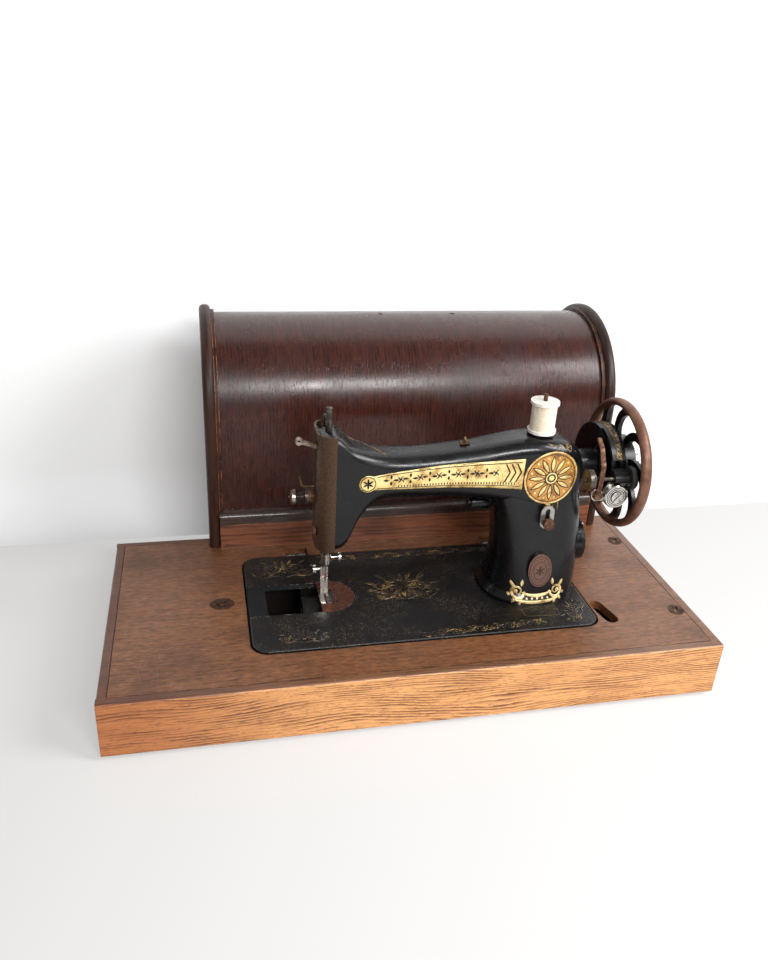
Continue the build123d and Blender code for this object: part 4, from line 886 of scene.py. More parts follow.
STEEL = Metal("steel", paint(150, 148, 145), paint(80, 72, 64), 0.35, 0.3)
# Dark oiled steel for the works under the bed, darkened further to near-black as painted shade of the space
# under the bed
SHADED_OILED_STEEL = Metal("oiled_steel_painted_shade", paint(40, 38, 36), paint(16, 14, 13), 0.5, 0.4)
DARK_STEEL = Metal("dark_steel", paint(104, 96, 88), paint(52, 44, 38), 0.45, 0.32, 0.05, 5.0)
RUSTY = Metal("rusty_steel", paint(132, 104, 80), paint(84, 52, 40), 0.6, 0.42, 0.12, 4.0)
BRONZE = Metal("face_bronze", paint(98, 76, 58), paint(66, 50, 38), 0.45, 0.34, 0.06, 1.6)
RUST_PLATE = Metal("needle_plate_rust", paint(122, 76, 58), paint(78, 46, 36), 0.6, 0.45, 0.1, 6.0)
BRASS = Metal("brass", paint(150, 120, 74), paint(84, 62, 40), 0.45, 0.35)
ESCUTCHEON = Metal("escutcheon", paint(96, 72, 56), paint(58, 40, 32), 0.5, 0.5, 0.08, 4.0)
PLATES = TwoTone("pillar_plates", Axis.Z, PLATES_PART, paint(112, 84, 74), paint(176, 172, 166),
                 metal_below=0.45, metal_above=0.85, gloss_below=0.42, gloss_above=0.3)
BOSSES = TwoTone("pillar_bosses", Axis.X, SIDE_BOSS_FACE, paint(16, 16, 17), paint(176, 174, 170),
                 metal_below=0.0, metal_above=0.9, gloss_below=0.3, gloss_above=0.25)
WINDER = TwoTone("winder_frame", Axis.Z, WINDER_PART, paint(186, 180, 172), paint(30, 29, 29),
                 metal_below=0.9, metal_above=0.2, gloss_below=0.25, gloss_above=0.35)
RUBBER = Dull("rubber", paint(30, 29, 29), paint(48, 46, 44), 0.7)
FOOT = Dull("foot", paint(110, 44, 30), paint(76, 30, 22), 0.55)
REEL = Dull("reel_white", paint(238, 234, 226), paint(216, 206, 190), 0.45, 0.2)
THREAD = Dull("thread", paint(250, 238, 216), paint(224, 206, 178), 0.85, 1.2)
BRIGHT_GOLD = GoldLeaf("bright_gold", paint(236, 210, 142), paint(200, 160, 88), 0.22)
ORANGE_GOLD = GoldLeaf("orange_gold", paint(204, 146, 66), paint(150, 98, 40), 0.2)
PALE_GOLD = GoldLeaf("pale_gold", paint(232, 206, 148), paint(186, 146, 84), 0.3)
DULL_GOLD = GoldLeaf("dull_gold", paint(176, 140, 80), paint(110, 82, 42), 0.72)
THIN_GOLD = GoldLeaf("thin_gold", paint(164, 126, 70), paint(100, 74, 42), 0.5)
INK = Enamel("transfer_black", paint(24, 20, 17), dusty=0.1, gloss=0.32, chips=0.0)
PLATE_LINE = Enamel("plate_line", paint(62, 42, 36), dusty=0.1, gloss=0.4, chips=0.0)
GROOVE = Enamel("groove", paint(30, 28, 27), dusty=0.1, gloss=0.4, chips=0.0)


class Side(Enum):
    """The way a transfer is laid on the machine."""

    FRONT = "front"
    TOP = "top"
    ROUND = "round"


@dataclass
class Transfer:
    """Flat ornament in millimetres, laid on the surface of one of the frame's pieces.

    Attributes:
        name: The piece's name.
        carrier: The node that it is laid on.
        side: The way it is laid.
        finish: Its finish.
        lift: How far it stands off the surface, in millimetres.
        body: The body that it rides on.
        thickness: How thick it is, in millimetres.
        corners: Its points.
        faces: Its squares, by the numbers of their points.
    """

    name: str
    carrier: str
    side: Side
    finish: GoldLeaf | Enamel
    lift: float = 0.06
    body: str = "head"
    thickness: float = 0.1
    corners: list[Flat] = field(default_factory=list)
    faces: list[tuple[int, ...]] = field(default_factory=list)

    def grid(self, rows: list[list[Flat]]) -> None:
        """Add a patch of squares between rows of points.

        Args:
            rows: Rows of points, each as long as the others.
        """
        first = len(self.corners)
        width = len(rows[0])
        for row in rows:
            self.corners.extend(row)
        for line in range(len(rows) - 1):
            for step in range(width - 1):
                corner = first + line * width + step
                self.faces.append((corner, corner + 1, corner + width + 1, corner + width))

    def ribbon(self, path: list[Flat], widths: list[float], fineness: float = 1.2) -> None:
        """Add a smooth ribbon along a path.

        Args:
            path: Points of the path.
            widths: The ribbon's width at each point.
            fineness: Length of one square, in millimetres.
        """
        points, reach = smooth_path(path, widths, fineness)
        across = max(2, int(max(widths) / fineness) + 1)
        rows = []
        for index, (place, width) in enumerate(zip(points, reach)):
            before = points[max(index - 1, 0)]
            after = points[min(index + 1, len(points) - 1)]
            way = Vector((after[0] - before[0], after[1] - before[1])).normalized()
            row = []
            for step in range(across):
                share = (step / (across - 1) - 0.5) * width
                row.append((place[0] - way.y * share, place[1] + way.x * share))
            rows.append(row)
        self.grid(rows)

    def leaf(self, foot: Flat, length: float, angle: float, width: float, bend: float = 0.0) -> None:
        """Add a pointed leaf.

        Args:
            foot: Where it starts.
            length: Its length.
            angle: Its direction in degrees.
            width: Its greatest width.
            bend: How far its middle stands aside.
        """
        way = Vector((cos(radians(angle)), sin(radians(angle))))
        aside = Vector((-way.y, way.x))
        path = []
        widths = []
        for share, breadth in ((0.0, 0.12), (0.3, 0.85), (0.55, 1.0), (0.8, 0.6), (1.0, 0.05)):
            place = Vector(foot) + way * (length * share) + aside * (bend * 4 * share * (1 - share))
            path.append((place.x, place.y))
            widths.append(width * breadth)
        self.ribbon(path, widths)

    def disc(self, middle: Flat, outer: float, inner: float = 0.0, squash: float = 1.0) -> None:
        """Add a disc or a ring.

        Args:
            middle: Its middle.
            outer: Its outer radius.
            inner: Its inner radius.
            squash: Its height as a share of its width.
        """
        steps = max(12, int(2 * pi * outer / DISC_STEP))
        bands = max(1, int((outer - inner) / DISC_BAND))
        hole = max(inner, 0.02)
        rows = []
        for band in range(bands + 1):
            radius = hole + (outer - hole) * band / bands
            rows.append([
                (middle[0] + radius * cos(2 * pi * step / steps),
                 middle[1] + radius * squash * sin(2 * pi * step / steps))
                for step in range(steps + 1)
            ])
        self.grid(rows)

    def scroll(self, middle: Flat, radius: float, turns: float, start: float, width: float,
               hand: int = 1) -> None:
        """Add a spiral scroll that ends in a dot.

        Args:
            middle: Its middle.
            radius: Its outer radius.
            turns: How many turns it makes.
            start: The direction of its outer end in degrees.
            width: The ribbon's greatest width.
            hand: 1 to wind one way, -1 the other.
        """
        path = []
        widths = []
        steps = max(6, int(turns * 8))
        for step in range(steps + 1):
            share = step / steps
            reach = radius * (1 - 0.78 * share)
            angle = radians(start) + hand * share * turns * 2 * pi
            path.append((middle[0] + reach * cos(angle), middle[1] + reach * sin(angle)))
            widths.append(width * (0.35 + 0.65 * sin(pi * min(1.0, share + 0.25))))
        self.ribbon(path, widths, 0.8)
        self.disc(path[-1], width * 0.8)

    def ray(self, flat: Flat) -> tuple[Vector, Vector]:
        """Where a point of the ornament looks from, and which way.

        Args:
            flat: The point, in millimetres.

        Returns:
            The start of the look, and its direction.
        """
        if self.side is Side.FRONT:
            return on_machine(flat[0], LOOK_FRONT, flat[1]), Vector((0, 1, 0))
        if self.side is Side.TOP:
            return on_machine(flat[0], flat[1], LOOK_TOP), Vector((0, 0, -1))
        angle = radians(flat[1])
        outward = Vector((0, cos(angle), sin(angle)))
        return on_machine(flat[0], 0, WHEEL_AXIS) + outward * (LOOK_ROUND * MM), -outward

    def lay(self) -> None:
        """Lay the ornament on its carrier, and dress it."""
        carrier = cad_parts[self.carrier]
        tree = BVHTree.FromPolygons(
            [carrier.matrix_world @ corner.co for corner in carrier.data.vertices],
            [tuple(face.vertices) for face in carrier.data.polygons],
        )
        shell = bmesh.new()
        made = []
        for flat in self.corners:
            start, way = self.ray(flat)
            place, normal, _, _ = tree.ray_cast(start, way, LOOK_REACH)
            if place is None:
                made.append(None)
                continue
            if normal.dot(way) > 0:
                normal = -normal
            made.append(shell.verts.new(place + normal * self.lift * MM))
        for face in self.faces:
            loop = [made[corner] for corner in face]
            if None in loop:
                continue
            if max((a.co - b.co).length for a, b in zip(loop, loop[1:])) < SQUARE_LIMIT:
                shell.faces.new(loop)
        bmesh.ops.remove_doubles(shell, verts=shell.verts, dist=WELD_GAP)
        loose = [vert for vert in shell.verts if not vert.link_faces]
        bmesh.ops.delete(shell, geom=loose, context="VERTS")
        mesh = bpy.data.meshes.new(self.name)
        shell.to_mesh(mesh)
        shell.free()
        mesh.shade_smooth()
        piece = bpy.data.objects.new(self.name, mesh)
        bpy.context.scene.collection.objects.link(piece)
        mesh.materials.append(self.finish.dress())
        thick = piece.modifiers.new("thickness", "SOLIDIFY")
        thick.thickness = self.thickness * MM
        thick.offset = -1.0
        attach(piece, self.body)
        log.info("laid %s on %s", self.name, self.carrier)


def smooth_path(path: list[Flat], widths: list[float], fineness: float) -> tuple[list[Flat], list[float]]:
    """Sample a smooth curve through points, with a value at each.

    Args:
        path: The points.
        widths: The value at each point.
        fineness: The distance between samples.

    Returns:
        The sampled points and values.
    """
    points = []
    values = []
    last = len(path) - 1
    for index in range(last):
        ends = [Vector(path[min(max(index + step, 0), last)]) for step in (-1, 0, 1, 2)]
        count = max(2, int((ends[2] - ends[1]).length / fineness) + 1)
        for step in range(count):
            share = step / count
            place = 0.5 * (
                2 * ends[1] + (ends[2] - ends[0]) * share
                + (2 * ends[0] - 5 * ends[1] + 4 * ends[2] - ends[3]) * share ** 2
                + (3 * ends[1] - ends[0] - 3 * ends[2] + ends[3]) * share ** 3
            )
            points.append((place.x, place.y))
            values.append(widths[index] + (widths[index + 1] - widths[index]) * share)
    points.append(path[-1])
    values.append(widths[-1])
    return points, values


@dataclass
class Dressing:
    """Gives each carried-over piece of the frame its finish.

    Attributes:
        wheel: The hand wheel's finish.
    """

    wheel: WheelFinish = field(default_factory=lambda: WheelFinish(
        "hand_wheel", on_machine(0, 0, 0).y, on_machine(0, 0, WHEEL_AXIS).z, WHEEL_RIM * MM))

    def plan(self) -> dict[object, tuple[str, ...]]:
        """Say which finish goes on which pieces.

        Returns:
            The pieces' names by finish.
        """
        return {
            OAK: ("base_rails",),
            BOARD: ("base_top_board",),
            # Near-black wood on the inside pieces is painted shade
            INSIDE_SHADE: ("base_bottom_board", "bed_rest_blocks"),
            BENTWOOD: ("cover_shell",),
            END_PANEL: ("cover_end_panels",),
            MOULDING: ("cover_end_mouldings",),
            PLINTH: ("cover_plinth_boards",),
            BEAD: ("cover_bead_mouldings",),
            FOOT: ("base_feet",),
            RUBBER: ("winder_tyre",),
            BLACK: ("arm_casting", "belt_guard", "connecting_rod", "rocker"),
            BED_BLACK: ("bed",),
            BOSSES: ("pillar_bosses",),
            WINDER: ("winder_frame",),
            BRONZE: ("face_plate",),
            RUST_PLATE: ("needle_plate",),
            PLATES: ("pillar_plates",),
            ESCUTCHEON: ("cover_catch_plates",),
            RUSTY: ("tension_stud", "winder_latch", "regulator_screw", "plate_screws", "spool_pin"),
            NICKEL: ("winder_worm_wheel", "clutch_screw", "presser_lifter", "presser_foot", "needle_clamp"),
            WORN_NICKEL: ("tension_nut", "take_up_lever"),
            DARK_STEEL: ("needle_bar", "presser_bar", "pressure_screw", "tension_discs", "tension_spring",
                         "winder_spindle"),
            STEEL: ("main_shaft", "needle_crank", "needle_bar_link", "needle",
                    "feed_dog", "bed_hinges", "bed_hinge_spigots", "cover_lock"),
            # Works under the bed: oiled steel darkened to near-black as painted shade
            SHADED_OILED_STEEL: ("hook_shaft", "shuttle_race", "shuttle_hook", "bobbin_case", "bobbin", "feed_bar",
                          "feed_rock_shaft"),
            BRASS: ("thread_guides",),
            REEL: ("thread_reel",),
            THREAD: ("reel_winding",),
            self.wheel: ("hand_wheel",),
        }

    def dress(self) -> None:
        """Put every finish on its pieces."""
        for finish, names in self.plan().items():
            material = finish.dress()
            for name in names:
                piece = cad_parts[name]
                piece.data.materials.clear()
                piece.data.materials.append(material)
                log.info("dressed %s with %s", name, finish.name)


@dataclass
class Ornament:
    """Worn gold ornament of plain leaves, scrolls and flowers on the arm, the pillar, the bed and the guard.

    Attributes:
        band_left: Left end of the arm's band.
        band_right: Right end of the arm's band.
        band_end: Middle of the disc at the band's left end.
        rose: Middle of the round ornament where the arm meets the pillar.
        rose_radius: Its radius.
    """

    band_left: float = -60.0
    band_right: float = 100.0
    band_end: Flat = (-63.5, 147.8)
    rose: Flat = (131.0, 146.0)
    rose_radius: float = 30.0

    def band(self, x: float, share: float) -> Flat:
        """Point of the arm's band.

        Args:
            x: Distance along the arm.
            share: 0 at its lower edge, 1 at its upper edge.

        Returns:
            The point on the front.
        """
        low = 140.6 - 1.1 * (x + 60) / 76 if x < 16 else 139.5 - 5.0 * ((x - 16) / 82) ** 1.5
        high = 155.0 + 9.6 * ((x + 62) / 76) ** 0.8 if x < 14 else 164.6 + 4.3 * (x - 14) / 80
        return (x, low + (high - low) * share)

    def arm_band(self) -> None:
        """Gold band along the arm, with its dark lining, ticks and leaves."""
        gold = Transfer("arm_band", "arm_casting", Side.FRONT, BRIGHT_GOLD)
        steps = int((self.band_right - self.band_left) / 1.6)
        reach = self.band_right - self.band_left
        gold.grid([[self.band(self.band_left + reach * step / steps, share / 12) for step in range(steps + 1)]
                   for share in range(13)])
        gold.disc(self.band_end, 9.2)
        gold.lay()
        ink = Transfer("arm_band_lining", "arm_casting", Side.FRONT, INK, lift=0.2)
        start, end = -54, self.band_right - 3
        for share in (0.1, 0.9):
            line = [self.band(start + (end - start) * step / 12, share) for step in range(13)]
            ink.ribbon(line, [0.8] * 13, 1.6)
        for tick in range(42):
            x = -32 + 3.0 * tick
            low, high = self.band(x, 0.14), self.band(x, 0.23)
            ink.ribbon([low, high], [1.1, 1.1], 0.8)
        for unit in range(6):
            middle = self.band(-40 + 20 * unit, 0.57)
            for angle, aside in ((0, 2.2), (180, -2.2)):
                ink.leaf((middle[0] + aside, middle[1]), 6.0, angle, 2.6)
            for angle, aside in ((90, 1.6), (270, -1.6)):
                ink.leaf((middle[0], middle[1] + aside), 4.2, angle, 2.4)
            between = self.band(-30 + 20 * unit, 0.57)
            ink.disc(between, 1.3)
            for angle in (50, 130, 230, 310):
                ink.leaf(between, 4.6, angle, 1.2, 0.6)
        for step in range(3):
            x = 80 + 6 * step
            low, middle, high = self.band(x, 0.24), self.band(x + 5, 0.57), self.band(x, 0.86)
            ink.ribbon([low, middle], [1.5, 1.5], 0.9)
            ink.ribbon([middle, high], [1.5, 1.5], 0.9)
        ink.disc(self.band_end, 8.0, 7.2)
        for petal in range(6):
            ink.leaf(self.band_end, 6.0, 60 * petal + 30, 2.2)
        ink.lay()

    def arm_rose(self) -> None:
        """Round flower of gold leaves where the arm meets the pillar."""
        ground = Transfer("arm_rose_ground", "arm_casting", Side.FRONT, ORANGE_GOLD)
        ground.disc(self.rose, self.rose_radius)
        ground.lay()
        gold = Transfer("arm_rose", "arm_casting", Side.FRONT, BRIGHT_GOLD, lift=0.34)
        ink = Transfer("arm_rose_lining", "arm_casting", Side.FRONT, INK, lift=0.2)
        x, z = self.rose
        gold.disc(self.rose, self.rose_radius, self.rose_radius - 1.6)
        ink.disc(self.rose, self.rose_radius - 2.6, self.rose_radius - 3.4)
        for petal in range(12):
            angle = 30 * petal
            way = (cos(radians(angle)), sin(radians(angle)))
            ink.leaf((x + 7 * way[0], z + 7 * way[1]), 18.5, angle, 6.0)
            gold.leaf((x + 9 * way[0], z + 9 * way[1]), 14.5, angle, 4.0)
            side = radians(angle + 15)
            gold.disc((x + 23.5 * cos(side), z + 23.5 * sin(side)), 1.4)
        ink.disc(self.rose, 7.6)
        gold.disc(self.rose, 6.4, 4.8)
        gold.disc(self.rose, 3.2)
        ink.lay()
        gold.lay()

    def linings(self) -> None:
        """Thin worn line on top of the head, and small scrolls beside the reel."""
        thin = Transfer("head_lining", "arm_casting", Side.TOP, THIN_GOLD)
        thin.ribbon([(-86, 11), (-77, 10), (-66, 9), (-57, 4), (-50, -4), (-44, -14)],
                    [1.0, 2.0, 2.4, 2.2, 1.6, 0.8])
        thin.scroll((139, -25), 5.5, 1.5, 200, 1.4, -1)
        thin.scroll((149, -20), 4.0, 1.4, 20, 1.2)
        thin.leaf((132, -22), 8.0, 165, 2.0, 1.0)
        thin.lay()

    def garland(self) -> None:
        """Garland of gold leaves under the oval badge."""
        gold = Transfer("pillar_garland", "arm_casting", Side.FRONT, PALE_GOLD)
        for hand in (-1, 1):
            x = BADGE[0] + 22 * hand
            start = 180 if hand == 1 else 0
            gold.scroll((x, 16.0), 8.0, 1.5, start, 3.0, hand)
            gold.leaf((x + 2 * hand, 20), 9.5, 90 - 35 * hand, 3.8, -0.8 * hand)
            gold.leaf((x - 4 * hand, 22), 8.0, 90 + 8 * hand, 3.6)
            gold.leaf((x + 3 * hand, 10), 7.0, -60 if hand == 1 else 240, 3.2)
            gold.leaf((x - 2 * hand, 7), 6.5, 270, 3.2)
            gold.disc((x + 9 * hand, 12), 1.6)
        gold.ribbon([(102, 8), (112, 5.5), (127, 4.2), (142, 5.5), (152, 8)], [2.0, 3.6, 4.4, 3.6, 2.0])
        gold.ribbon([(110, 15), (118, 12.2), (127, 11), (136, 12.2), (144, 15)], [1.5, 2.8, 3.6, 2.8, 1.5])
        for step in range(7):
            gold.disc((109 + 6 * step, 8.4 + 0.06 * (step - 3) ** 2), 1.3)
        gold.lay()

    def spray(self, piece: Transfer, middle: Flat, reach: float, depth: float, turn: float) -> None:
        """Add a spray of scrolls and leaves.

        Args:
            piece: The ornament that it belongs to.
            middle: Its middle.
            reach: Half its length.
            depth: Half its height.
            turn: Its direction in degrees.
        """
        along = Vector((cos(radians(turn)), sin(radians(turn))))
        across = Vector((-along.y, along.x))

        def spot(a: float, b: float) -> Flat:
            """Point at shares of the reach and the depth."""
            place = Vector(middle) + along * (reach * a) + across * (depth * b)
            return (place.x, place.y)

        size = min(reach, depth)
        leaves = ((0.15, 0.4, 65, 0.6), (0.5, 0.5, 40, 0.5), (0.8, 0.15, 15, 0.45), (0.3, -0.35, -40, 0.45),
                  (0.62, -0.5, -65, 0.4), (0.9, -0.2, -20, 0.3))
        for hand in (-1, 1):
            start = turn + (180 if hand == 1 else 0)
            piece.scroll(spot(0.36 * hand, 0.12), size * 0.5, 1.6, start, size * 0.15, hand)
            piece.scroll(spot(0.74 * hand, -0.3), size * 0.34, 1.4, start + 180, size * 0.13, -hand)
            piece.ribbon([spot(0.05 * hand, -0.8), spot(0.35 * hand, -0.62), spot(0.7 * hand, -0.75),
                          spot(1.0 * hand, -0.35)], [size * 0.08, size * 0.16, size * 0.14, size * 0.05])
            for a, b, angle, length in leaves:
                way = turn + (angle if hand == 1 else 180 - angle)
                piece.leaf(spot(a * hand, b), size * length, way, size * 0.17, size * 0.04 * hand)
        piece.leaf(spot(0, -0.1), size * 1.0, turn + 90, size * 0.24)
        piece.disc(spot(0, -0.3), size * 0.14)

    def bed(self) -> None:
        """Sprays and running scrolls on the bed, worn through to the enamel."""
        gold = Transfer("bed_sprays", "bed", Side.TOP, DULL_GOLD)
        self.spray(gold, (-140, 60), 36, 21, 0)
        self.spray(gold, (-12, 8), 36, 30, -4)
        self.spray(gold, (-13, 4), 30, 22, 176)
        self.spray(gold, (-132, -68), 24, 13, -4)
        self.spray(gold, (163, -62), 20, 13, 62)
        gold.lay()
        strips = Transfer("bed_borders", "bed", Side.TOP, DULL_GOLD)
        for start, end, count in (((-96, 77), (120, 76), 16), ((-14, -82), (122, -76), 9)):
            line = Vector(end) - Vector(start)
            for unit in range(count):
                place = Vector(start) + line * ((unit + 0.5) / count)
                hand = 1 if unit % 2 else -1
                strips.scroll((place.x, place.y + 1.5 * hand), 5.6, 1.4, 180, 2.0, hand)
                strips.leaf((place.x + 4, place.y), 9.0, 25 * hand, 3.2, 0.6)
                strips.leaf((place.x + 3, place.y), 7.0, -45 * hand, 2.6)
                strips.leaf((place.x - 4, place.y - 3 * hand), 7.0, 180 + 20 * hand, 2.4)
        corners = [(108, -53), (144, -57), (145.5, -60), (145, -66), (142, -68), (110, -66), (107, -63),
                   (106.6, -56), (108, -53)]
        strips.ribbon(corners, [0.9] * len(corners))
        strips.lay()

    def guard(self) -> None:
        """Gold band of leaves round the belt guard."""
        gold = Transfer("guard_band", "belt_guard", Side.ROUND, THIN_GOLD)
        gold.ribbon([(197.8, -30), (197.8, 90), (197.8, 232)], [6.0, 6.0, 6.0])
        gold.lay()
        leaves = Transfer("guard_leaves", "belt_guard", Side.ROUND, INK, lift=0.2)
        for unit in range(37):
            angle = -30 + 7 * unit
            leaves.leaf((196.4, angle), 4.6, 55, 1.4, 0.4)
            leaves.leaf((199.2, angle + 3.5), 4.6, -55, 1.4, 0.4)
            leaves.disc((195.6, angle + 4), 0.6)
            leaves.disc((200.0, angle + 0.5), 0.6)
        leaves.lay()

    def plates(self) -> None:
        """Plain rings and leaves on the oval badge, and the spiral and slot in the winder's worm wheel."""
        line = Transfer("badge_rings", "pillar_plates", Side.FRONT, PLATE_LINE, lift=0.05)
        squash = 19 / 13.5
        line.disc(BADGE, 12.2, 11.5, squash)
        line.disc(BADGE, 7.6, 7.0, squash)
        for step in range(20):
            angle = radians(18 * step + 9)
            line.disc((BADGE[0] + 9.6 * cos(angle), BADGE[1] + 9.6 * squash * sin(angle)), 0.65)
        for petal in range(6):
            line.leaf(BADGE, 6.0, 60 * petal + 30, 2.0)
        line.lay()
        groove = Transfer("worm_wheel_spiral", "winder_worm_wheel", Side.FRONT, GROOVE, lift=0.03,
                          body="winder_gear")
        x, z = WORM_WHEEL
        for turn in range(3):
            groove.disc(WORM_WHEEL, 10.6 - 1.9 * turn, 9.9 - 1.9 * turn)
        groove.ribbon([(x - 3.0, z - 2.6), (x + 3.0, z + 2.6)], [1.4, 1.4], 0.8)
        groove.lay()

    def build(self) -> None:
        """Lay every ornament."""
        self.arm_band()
        self.arm_rose()
        self.linings()
        self.garland()
        self.bed()
        self.guard()
        self.plates()


@dataclass
class PresserSpring:
    """Coil spring round the presser bar, from the bar's collar up to the head's ceiling.

    Attributes:
        middle: Its axis, from the middle of the bed, in millimetres.
        low: Height of its lower end on the bar's collar.
        high: Height of its upper end under the ceiling.
        radius: Radius of the coil to the middle of its wire.
        wire: Radius of the wire.
        turns: How many turns it makes, with a closed one at each end.
        closed_pitch: Rise of a closed turn, in radii of the wire.
        steps: Rings per turn.
        sides: Points round the wire.
        lift: How far the presser bar rises; not used.
    """

    middle: Flat = (-101.0, 13.0)
    low: float = 120.0
    high: float = 190.0
    radius: float = 4.9
    wire: float = 0.75
    turns: int = 15
    closed_pitch: float = 2.04
    steps: int = 24
    sides: int = 8
    lift: float = 7.0

    def height(self, turn: float) -> float:
        """Height of the wire's middle.

        Args:
            turn: Turns from the lower end.

        Returns:
            The height above the base's top, in millimetres.
        """
        closed = self.closed_pitch * self.wire
        first, last = self.low + self.wire, self.high - self.wire
        if turn < 1:
            return first + closed * turn
        if turn > self.turns - 1:
            return last - closed * (self.turns - turn)
        share = (turn - 1) / (self.turns - 2)
        return first + closed + (last - first - 2 * closed) * share

    def tube(self) -> bpy.types.Mesh:
        """Build the coil as a closed tube.

        Returns:
            The mesh.
        """
        corners = []
        rings = self.turns * self.steps + 1
        for step in range(rings):
            angle = 2 * pi * step / self.steps
            outward = Vector((cos(angle), sin(angle), 0.0))
            place = on_machine(*self.middle, self.height(step / self.steps)) + outward * self.radius * MM
            for side in range(self.sides):
                way = 2 * pi * side / self.sides
                corners.append(place + (outward * cos(way) + Vector((0, 0, sin(way)))) * self.wire * MM)
        faces = []
        for ring in range(rings - 1):
            first, after = ring * self.sides, (ring + 1) * self.sides
            for side in range(self.sides):
                beside = (side + 1) % self.sides
                faces.append((first + side, after + side, after + beside, first + beside))
        faces.append(tuple(range(self.sides)))
        faces.append(tuple(reversed(range((rings - 1) * self.sides, rings * self.sides))))
        mesh = bpy.data.meshes.new("presser_coil")
        mesh.from_pydata(corners, [], faces)
        mesh.shade_smooth()
        return mesh

    def build(self) -> None:
        """Build the coil, which stands for the plain sleeve."""
        mesh = self.tube()
        mesh.materials.append(STEEL.dress())
        piece = bpy.data.objects.new("presser_coil", mesh)
        bpy.context.scene.collection.objects.link(piece)
        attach(piece, "presser")
        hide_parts("presser_spring")
        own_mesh(piece)
        log.info("built %s", piece.name)


@dataclass(frozen=True)
class Lamp:
    """One large soft lamp.

    Attributes:
        name: The lamp's name.
        place: Where it stands, in metres.
        aim: The point it looks at.
        size: Its width and height.
        power: Its power in watts.
    """

    name: str
    place: Place
    aim: Place
    size: tuple[float, float]
    power: float

    def build(self) -> None:
        """Add the lamp to the scene."""
        data = bpy.data.lights.new(self.name, "AREA")
        data.shape = "RECTANGLE"
        data.size, data.size_y = self.size
        data.energy = self.power
        holder = bpy.data.objects.new(self.name, data)
        toward = Vector(self.aim) - Vector(self.place)
        turn = toward.to_track_quat("-Z", "Y").to_matrix().to_4x4()
        holder.matrix_world = Matrix.Translation(self.place) @ turn
        bpy.context.scene.collection.objects.link(holder)


